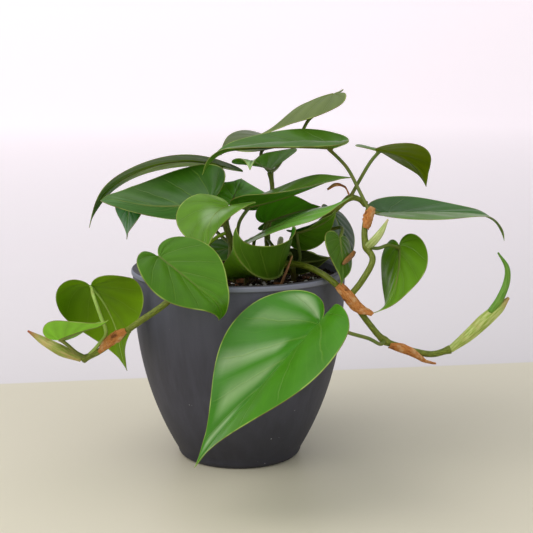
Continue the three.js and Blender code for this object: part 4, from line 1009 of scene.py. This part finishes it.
def blade_part(leaf, frames, seed):
    """Corners, faces, corner values and face materials of the blade's closed sheet."""
    t = np.linspace(0, 1, BLADE_ROWS + 1)
    rim = outline(t)
    root = np.clip((t - VEIN_FAN_END) / (1 - VEIN_FAN_END), 0, 1) ** VEIN_RAKE
    shares = np.array([-s for s in SHARES[:0:-1]] + SHARES)
    share = np.abs(shares)[None, :]
    across = rim[:, :1] * shares[None, :]
    along = root[:, None] * (1 - share) + rim[:, 1:] * share
    grid, _ = on_blade(leaf, frames, across, along)
    columns = len(shares)
    flat = grid.reshape(-1, 3)
    # Places that fall on one another, such as all those at the blade's base, become one corner.
    _, first, merged = np.unique(np.round(flat, 2), axis=0, return_index=True, return_inverse=True)
    merged = merged.reshape(-1)
    middle = flat[first]
    faces, sources = [], []
    for i in range(BLADE_ROWS):
        for j in range(columns - 1):
            a = i * columns + j
            ring = [a, a + 1, a + 1 + columns, a + columns]
            kept = []
            for corner in ring:
                if merged[corner] not in [merged[k] for k in kept]:
                    kept.append(corner)
            if len(kept) > 2:
                faces.append([int(merged[k]) for k in kept])
                sources.append(kept)
    normals = np.zeros_like(middle)
    for face in faces:
        spokes = middle[face[1:]] - middle[face[0]]
        normals[face] += sum(np.cross(a, b) for a, b in zip(spokes, spokes[1:]))
    normals /= np.maximum(np.linalg.norm(normals, axis=1, keepdims=True), 1e-9)

    size = leaf["length"] / COMMON_LENGTH
    relief_size = min(size, LARGEST_RELIEF)
    half = leaf["width"] / 2
    row = t[:, None]
    between = np.sin(math.pi * SIDE_VEINS * vein_place(row, share)) ** 2
    window = (np.clip((row - QUILT_START) / QUILT_FADE_IN, 0, 1)
              * np.clip((QUILT_END - row) / QUILT_FADE_OUT, 0, 1))
    quilt = QUILT_HEIGHT * relief_size * between * window * np.sin(math.pi * share ** 0.8) ** 0.7
    from_midrib = np.abs(across) * half
    groove = -MIDRIB_GROOVE * relief_size * np.exp(-(from_midrib / GROOVE_REACH) ** 2)
    groove = groove * (1 - np.clip(along, 0, 1)) ** 0.4
    wave = EDGE_WAVE * size * share ** 3 * window * np.sin(
        2 * math.pi * (EDGE_WAVES * row + seed * LEAF_SHIFT + (shares[None, :] > 0) * SIDE_SHIFT))
    relief = np.zeros(len(middle))
    relief[merged] = (quilt + groove + wave).reshape(-1)
    thick = np.zeros(len(middle))
    thick[merged] = (EDGE_THICKNESS + (BLADE_THICKNESS - EDGE_THICKNESS) * (1 - share ** 4)
                     + np.zeros_like(across)).reshape(-1)
    middle = middle + normals * relief[:, None]
    skin = normals * thick[:, None] / 2
    corners = np.vstack([middle + skin, middle - skin])

    some = np.maximum(share, 1e-3)
    to_edge = [across / some * half, (along - root[:, None]) / some * leaf["length"]]
    margin = (1 - share) * np.linalg.norm(np.stack(to_edge, -1), axis=-1)
    place, reach = (
        np.stack([np.broadcast_to(value, along.shape) for value in values], -1).reshape(-1, 3)
        for values in ((row, share, along), (from_midrib, margin, shares[None, :])))
    count = len(middle)
    edges = {(face[k], face[(k + 1) % len(face)]) for face in faces for k in range(len(face))}
    all_faces, owners, materials = [], [], []
    for face, source in zip(faces, sources):
        all_faces += [tuple(face), tuple(k + count for k in reversed(face))]
        owners += [*source, *reversed(source)]
        materials += [0, 1]
        for k in range(len(face)):
            a, b = face[k], face[(k + 1) % len(face)]
            if (b, a) not in edges:
                all_faces.append((b, a, a + count, b + count))
                p, q = source[k], source[(k + 1) % len(face)]
                owners += [q, p, p, q]
                materials.append(0)
    return corners, all_faces, place[owners], reach[owners], materials


def leaf_marks(leaf, place, reach):
    """The colour at each corner of the blade, above and below, with the leaf's own patches and the
    painted sheen and shade that some marks add. Its alpha holds the roughness."""
    tones = {}
    for surface, roughness in SIDE_ROUGHNESS.items():
        tone = np.tile(np.array(paint(leaf[surface])), (len(place), 1))
        for mark in leaf.get("marks", []):
            if mark["on"] != surface:
                continue
            soft = mark.get("soft", MARK_SOFTNESS)
            fan = vein_place(place[:, 0], place[:, 1])
            weight = np.full(len(place), mark["much"])
            for way, value in (("across", reach[:, 2]), ("along", place[:, 2]), ("fan", fan)):
                start, end = mark.get(way, EVERYWHERE)
                weight *= np.clip((value - start) / soft + 0.5, 0, 1)
                weight *= np.clip((end - value) / soft + 0.5, 0, 1)
            weight = weight[:, None]
            tone = tone * (1 - weight) + np.array(paint(mark["tone"])) * weight
        tone[:, 3] = roughness
        tones[surface] = tone
    return tones


# Veins, margin and mottling of a blade, as a group that both of its sides use.
VEIN_WIDTH = 0.026
VEIN_WIDENING = 0.12
VEIN_WOBBLE = 0.22
SIDE_VEIN_SHARE = 0.7
MINOR_VEINS = 4
MINOR_VEIN_SHARE = 0.16
MIDRIB_TIP_WIDTH = 0.5
marking, given, result = open_group("blade_markings", (
    ("INPUT", "Vector", ("Place", "Reach", "Spot")), ("INPUT", "Color", ("Tone", "Vein Tone", "Edge Tone")),
    ("INPUT", "Float", ("Vein Strength", "Edge Width")), ("OUTPUT", "Color", ("Color",)),
    ("OUTPUT", "Float", ("Height", "Mottle"))))
round_edge, out_share, along_share = marking.split(given["Place"])
from_midrib, from_margin, _ = marking.split(given["Reach"])
wobble = marking.noise(given["Spot"], 90, 2)
phase = vein_place(round_edge, out_share) * SIDE_VEINS + (wobble - 0.5) * VEIN_WOBBLE
away = abs(marking.calc("FRACT", phase + 0.5) - 0.5)
fade = out_share.ramp(1.0, 0.82) * round_edge.ramp(0.05, 0.14)
side_vein = (1 - marking.calc("MINIMUM", away / (VEIN_WIDTH / (out_share + VEIN_WIDENING)), 1)) * fade
minor = abs(marking.calc("FRACT", phase * MINOR_VEINS) - 0.5).ramp(0.1, 0) * (fade * MINOR_VEIN_SHARE)
midrib = 1 - marking.calc("MINIMUM", from_midrib / (MIDRIB_TIP_WIDTH + (1 - along_share)), 1)
veins = marking.calc("MAXIMUM", midrib, marking.calc("MAXIMUM", side_vein * SIDE_VEIN_SHARE, minor))
mottle = marking.noise(given["Spot"], 210, 5, 0.62)
broad = marking.noise(given["Spot"], 38, 2)
# Painted light: the colour is paler midway between the veins and darker along them, a painted sheen on the
# quilting and painted shade in the grooves. The broad mottling is the leaf's own uneven tone and a patchy
# painted sheen in one.
tint = 0.62 + (mottle * 0.22 + broad * 0.34) + away * 0.3
shade = marking.add("CombineColor", 0, Red=tint, Green=tint, Blue=tint)
color = given["Tone"].towards(shade, 1, "MULTIPLY")
color = color.towards(given["Tone"].towards(given["Vein Tone"], 0.55), veins * given["Vein Strength"])
edge = from_margin / given["Edge Width"]
uneven = wobble.ramp(0.4, 0.62)
# A pale yellow-green line inside the edge, partly the leaf's own paler margin and partly a painted
# highlight where light catches the edge.
color = color.towards("#a9c25c", edge.ramp(1.4, 0.7) * (0.18 + uneven * 0.52))
color = color.towards(given["Edge Tone"], edge.ramp(0.5, 0.15) * (0.75 - uneven * 0.5))
marking.put(result["Color"], color)
marking.put(result["Height"], marking.calc("MAXIMUM", midrib, side_vein))
marking.put(result["Mottle"], mottle)


def blade_finish(name, vein_tone, vein_strength, edge_width, vein_height, gloss):
    """The finish of one side of the blades. Its colour and roughness come with each leaf."""
    finish = Finish(name, Specular_IOR_Level=gloss)
    tone = finish.carried("tone", "Color")
    marks = finish.add("Group", "Color", {"node_tree": marking.tree}, Place=finish.carried("place"),
                       Reach=finish.carried("reach"), Spot=finish.spot(), Tone=tone, Vein_Tone=vein_tone,
                       Edge_Tone="#7a5a2c", Vein_Strength=vein_strength, Edge_Width=edge_width)
    mottle = marks.also("Mottle")
    finish.set(Base_Color=marks, Roughness=tone.also("Alpha") + (mottle - 0.5) * 0.25)
    finish.bump(0.55, 0.0004, marks.also("Height") * vein_height + mottle * 0.25)
    return finish.material


top_finish = blade_finish("blade_top", "#94b852", vein_strength=0.5, edge_width=0.55, vein_height=-0.7,
                          gloss=0.24)
under_finish = blade_finish("blade_underside", "#a3bf50", vein_strength=0.4, edge_width=0.5,
                            vein_height=0.4, gloss=0.1)

stalk_finish = Finish("leaf_stalk", Specular_IOR_Level=0.4)
patches = stalk_finish.noise(stalk_finish.spot(), 160, 4)
color = stalk_finish.carried("tone", "Color").towards("#8a7a3a", patches.ramp(0.4, 0.75) * 0.5)
stalk_finish.set(Base_Color=color, Roughness=0.35 + patches * 0.3)
stalk_finish.bump(0.4, 0.0003, patches)


def stalk_parts(leaf, frames):
    """The stalk, with a swelling where the blade starts, and the rib that it becomes."""
    def below(along, depth):
        at, up = on_blade(leaf, frames, np.array([0.0]), np.array([along]))
        return at[0] - up[0] * depth

    points = stepped_path([*leaf["stalk"], below(0.02, STALK_RADIUS * 0.7)], STALK_STEP, 6)
    place = np.linspace(0, 1, len(points))
    swelling = sum(rise * np.exp(-((place - at) / reach) ** 2) for at, rise, reach in STALK_SWELLINGS)
    stalk = tube(points, STALK_RADIUS * (STALK_THINNING + swelling), STALK_SIDES)
    rib_points = np.array([below(a, MIDRIB_GROOVE * 0.8 * (1 - max(a, 0)) ** 0.4 + RIB_SINK)
                           for a in np.linspace(RIB_START, RIB_END, RIB_POINTS)])
    thinning = (1 - np.linspace(0, 1, RIB_POINTS)) ** 1.4
    return stalk, tube(rib_points, RIB_TIP_RADIUS + (RIB_RADIUS - RIB_TIP_RADIUS) * thinning, RIB_SIDES)


for number, (name, leaf) in enumerate(LEAVES.items()):
    frames = midrib_frames(leaf)
    corners, faces, place, reach, materials = blade_part(leaf, frames, number)
    tones = leaf_marks(leaf, place, reach)
    sizes = [len(face) for face in faces]
    below_side = np.repeat(np.array(materials) == 1, sizes)[:, None]
    tone = np.where(below_side, tones["under"], tones["top"])
    parts = [(corners, faces, list(place))]
    for part_corners, part_faces, _ in stalk_parts(leaf, frames):
        extra = sum(len(face) for face in part_faces)
        parts.append((part_corners, part_faces, [(0, 0.5, 0)] * extra))
        materials += [2] * len(part_faces)
        reach = np.vstack([reach, np.full((extra, 3), FAR_FROM_EDGE)])
        tone = np.vstack([tone, np.tile(paint(leaf.get("stalk_tone", "#64792a")), (extra, 1))])
    corners, faces, place = join_parts(parts)
    piece = mesh_piece("blade_" + name[5:], corners, faces,
                       [top_finish, under_finish, stalk_finish.material],
                       {("place", "FLOAT_VECTOR"): place, ("reach", "FLOAT_VECTOR"): reach,
                        ("tone", "FLOAT_COLOR"): tone}, materials)
    piece.data.set_sharp_from_angle(angle=math.radians(50))
    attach(piece, "root")
    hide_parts(name)

# The sheaths. Dry papery scales, the remains of bracts that once wrapped each new leaf: thin,
# orange-brown and crinkled, still curled round the vines' joints.
SHEATH_ROWS = 26
SHEATH_COLUMNS = 14
SHEATH_THICKNESS = 0.35
SHEATH_CRINKLE = 0.5
SHEATH_RAGGEDNESS = 0.12
SHEATHS = {
    "sheath_right_upper": dict(
        facing=(0.4, -0.8, 0.5),
        path=[(52, -43.5, 105), (58, -45, 99), (63, -46, 93), (70, -50, 89)],
        radius=[2.8, 3.1, 3, 2.8], wrap=[70, 115, 95, 25],
    ),
    "sheath_right_lower": dict(
        facing=(0.1, -0.6, -0.8),
        path=[(80, -48.5, 75), (86, -49, 72.7), (93, -50, 70), (99, -52, 67), (104, -54, 66)],
        radius=[3, 2.9, 2.7, 2.2, 1.4], wrap=[60, 110, 90, 55, 40],
    ),
    "sheath_branch": dict(
        facing=(0.3, -1, 0),
        path=[(67, -31, 133), (69, -28, 139), (71, -26, 144)],
        radius=[2.6, 2.9, 2.6], wrap=[45, 90, 40],
    ),
    "sheath_left_trail": dict(
        facing=(-0.3, -1, 0.3),
        path=[(-58, -55.5, 84), (-64, -53, 80), (-69, -51, 76), (-73, -50, 71)],
        radius=[2.6, 3, 2.8, 2.2], wrap=[30, 90, 70, 25],
    ),
    "sheath_tall_curl": dict(
        facing=(-0.2, -0.3, 1),
        path=[(49, -12, 151), (53, -12, 153.5), (57, -10.5, 152.2), (59.4, -9.4, 148.6)],
        radius=[1.6, 2, 1.8, 1.3], wrap=[40, 60, 55, 40],
    ),
}

sheath_finish = Finish("papery_sheath", Specular_IOR_Level=0.25, Roughness=0.75)
fibres = long_streaks(sheath_finish, sheath_finish.carried("skin"), (40, 0.25, 1), 4, 0.65)
patches = sheath_finish.noise(sheath_finish.spot(), 230, 4)
color = sheath_finish.blend("#a2561f", "#dc9a56", fibres.ramp(0.3, 0.7))
color = color.towards("#e0bd8c", patches.ramp(0.52, 0.7) * 0.7)
sheath_finish.set(Base_Color=color.towards("#5d2f16", patches.ramp(0.42, 0.28) * 0.8))
sheath_finish.bump(0.8, 0.0005, fibres)


def sheet_part(grid, thickness):
    """Corners and faces of a closed sheet on a grid of points, with (round, along) values."""
    rows, columns = grid.shape[:2]
    down = np.gradient(grid, axis=0)
    side = np.gradient(grid, axis=1)
    normals = np.cross(side, down)
    normals /= np.linalg.norm(normals, axis=2, keepdims=True)
    skin = normals * thickness / 2
    corners = np.vstack([(grid + skin).reshape(-1, 3), (grid - skin).reshape(-1, 3)])
    count = rows * columns
    faces = []
    for i in range(rows - 1):
        for j in range(columns - 1):
            a = i * columns + j
            quad = (a, a + 1, a + 1 + columns, a + columns)
            faces += [quad, tuple(k + count for k in reversed(quad))]
    rim = [*range(columns), *range(2 * columns - 1, count, columns),
           *range(count - 2, count - columns - 1, -1), *range(count - 2 * columns, -1, -columns)]
    faces += [(b, a, a + count, b + count) for a, b in zip(rim, rim[1:])]
    values = [(k % columns / (columns - 1), k % count // columns, 0) for face in faces for k in face]
    return corners, faces, values


for number, (name, sheath) in enumerate(SHEATHS.items()):
    centres = smooth_path(sheath["path"], SHEATH_ROWS)
    ahead = directions(centres)
    places = np.linspace(0, 1, SHEATH_ROWS)
    given_places = np.linspace(0, 1, len(sheath["path"]))
    radii = np.interp(places, given_places, sheath["radius"])
    wraps = np.radians(np.interp(places, given_places, sheath["wrap"]))
    grid = np.zeros((SHEATH_ROWS, SHEATH_COLUMNS, 3))
    for i in range(SHEATH_ROWS):
        outward = np.array(sheath["facing"], float)
        outward -= ahead[i] * outward.dot(ahead[i])
        outward /= np.linalg.norm(outward)
        right = np.cross(ahead[i], outward)
        for j in range(SHEATH_COLUMNS):
            k = 2 * j / (SHEATH_COLUMNS - 1) - 1
            crinkle = noise.noise(Vector((i / 3.1, k * 3, number * 7)))
            reach_out = radii[i] + SHEATH_CRINKLE * crinkle * (0.3 + k * k)
            tear = noise.noise(Vector((i / 2.3, number * 3, 2 * k)))
            angle = k * wraps[i] * (1 + SHEATH_RAGGEDNESS * tear)
            grid[i, j] = centres[i] + reach_out * (outward * math.cos(angle) + right * math.sin(angle))
    corners, faces, values = sheet_part(grid, SHEATH_THICKNESS)
    piece = mesh_piece("papery_" + name, corners, faces, [sheath_finish.material],
                       {("skin", "FLOAT_VECTOR"): values})
    piece.data.set_sharp_from_angle(angle=math.radians(50))
    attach(piece, "root")
    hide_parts(name)

# Shoots and slim pieces. New leaves still rolled in their pale sheaths at the vines' ends, a sprout
# in the middle, the dried tip of one leaf and a thin twig that stands in the soil.
SHOOT_SIDES = 20
SHOOT_POINTS = 60
SHOOT_BLEND = 4
SHOOT_RIDGES = 4
SHOOT_RIDGE_DEPTH = 0.05
SHOOTS = {
    "bud_left_end": dict(
        slot="shoot", tones=("#c4b872", "#93a544", "#a5522f"),
        path=[(-84, -45, 66), (-94, -45, 70.5), (-104, -44, 76), (-112, -43, 81)],
        radii=[1.5, 3, 2.2, 0.4],
    ),
    "sheath_shoot_right": dict(
        slot="shoot", tones=("#c2cc7c", "#93aa40", "#b8965e"),
        path=[(112, -48, 71), (121, -47.5, 78), (130, -46, 86), (138, -45, 93), (143, -44, 98)],
        radii=[1.8, 3, 3.6, 2.8, 0.6],
    ),
    "shoot_right_end": dict(
        slot="shoot", tones=("#528a1e", "#78a03a", "#5f8a26"),
        path=[(133, -47, 91), (138, -46, 98), (142, -43, 107), (142, -42, 114), (137, -42, 122)],
        radii=[1.8, 2, 1.7, 1.3, 0.4],
    ),
    "shoot_branch": dict(
        slot="shoot", tones=("#c6d08c", "#9cb25a", "#c9c08e"),
        path=[(68, -34, 124), (71, -37, 127), (75, -37, 132), (79, -36, 139)],
        radii=[1.6, 2.4, 2, 0.5],
    ),
    "sprout_center": dict(
        slot="shoot", tones=("#a8cc2c", "#8cb424", "#b8c83c"),
        path=[(-6, -13, 129), (-12, -16, 126.5), (-17, -20, 123)],
        radii=[0.9, 1, 0.8],
    ),
    "dried_tip_right": dict(
        slot="sheath", tones=("#a8743c", "#7d5228", "#8d6436"),
        path=[(62, -29.5, 120.6), (60.6, -31, 119.1), (56.7, -40.4, 117.6), (54.8, -44.6, 116.7)],
        radii=[1, 1.5, 1.4, 0.6],
    ),
    "stick_in_soil": dict(
        slot="sheath", tones=("#8a6038", "#5c3d22", "#9a7348"),
        path=[(20, -44, 96), (22, -44, 105), (25, -44, 113), (28, -44, 121)],
        radii=[0.8, 0.8, 0.7, 0.4],
    ),
}

# Two tones in stripes, with a third in patches and at the end, as a group that each piece uses.
shooting, given, result = open_group("shoot_tones", (
    ("INPUT", "Vector", ("Skin", "Spot")), ("INPUT", "Float", ("Stripes", "End Start", "End")),
    ("INPUT", "Color", ("Body", "Stripe", "Tip")), ("OUTPUT", "Color", ("Color",)),
    ("OUTPUT", "Float", ("Roughness",))))
patches = shooting.noise(given["Spot"], 200, 4)
_, along, _ = shooting.split(given["Skin"])
color = given["Body"].towards(given["Stripe"], given["Stripes"].ramp(0.38, 0.62))
color = color.towards(given["Tip"], patches.ramp(0.5, 0.75) * 0.4)
shooting.put(result["Color"], color.towards(given["Tip"], along.ramp(given["End Start"], given["End"])))
shooting.put(result["Roughness"], 0.4 + patches * 0.3)


def shoot_finish(name, tones, length):
    """The finish of one piece. Its end takes up the last fifth of its length."""
    body, stripe, tip = tones
    finish = Finish(name, Specular_IOR_Level=0.4)
    skin = finish.carried("skin")
    stripes = long_streaks(finish, skin, (16, 0.12, 1), 3)
    marks = finish.add("Group", "Color", {"node_tree": shooting.tree}, Skin=skin, Spot=finish.spot(),
                       Stripes=stripes, End_Start=length * 0.8, End=length, Body=body, Stripe=stripe,
                       Tip=tip)
    finish.set(Base_Color=marks, Roughness=marks.also("Roughness"))
    finish.bump(0.6, 0.0004, stripes)
    return finish.material


for name, shoot in SHOOTS.items():
    points = smooth_path(shoot["path"], SHOOT_POINTS)
    places = np.linspace(0, 1, SHOOT_POINTS)
    radii = np.interp(places, np.linspace(0, 1, len(shoot["radii"])), shoot["radii"])
    blend = np.ones(2 * SHOOT_BLEND + 1) / (2 * SHOOT_BLEND + 1)
    radii = np.convolve(np.pad(radii, SHOOT_BLEND, mode="edge"), blend, mode="valid")
    corners, faces, values = tube(points, radii, SHOOT_SIDES, SHOOT_RIDGES, SHOOT_RIDGE_DEPTH)
    material = shoot_finish("skin_" + name, shoot["tones"], path_length(points))
    piece = mesh_piece("slim_" + name, corners, faces, [material], {("skin", "FLOAT_VECTOR"): values})
    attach(piece, "root")
    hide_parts(name)
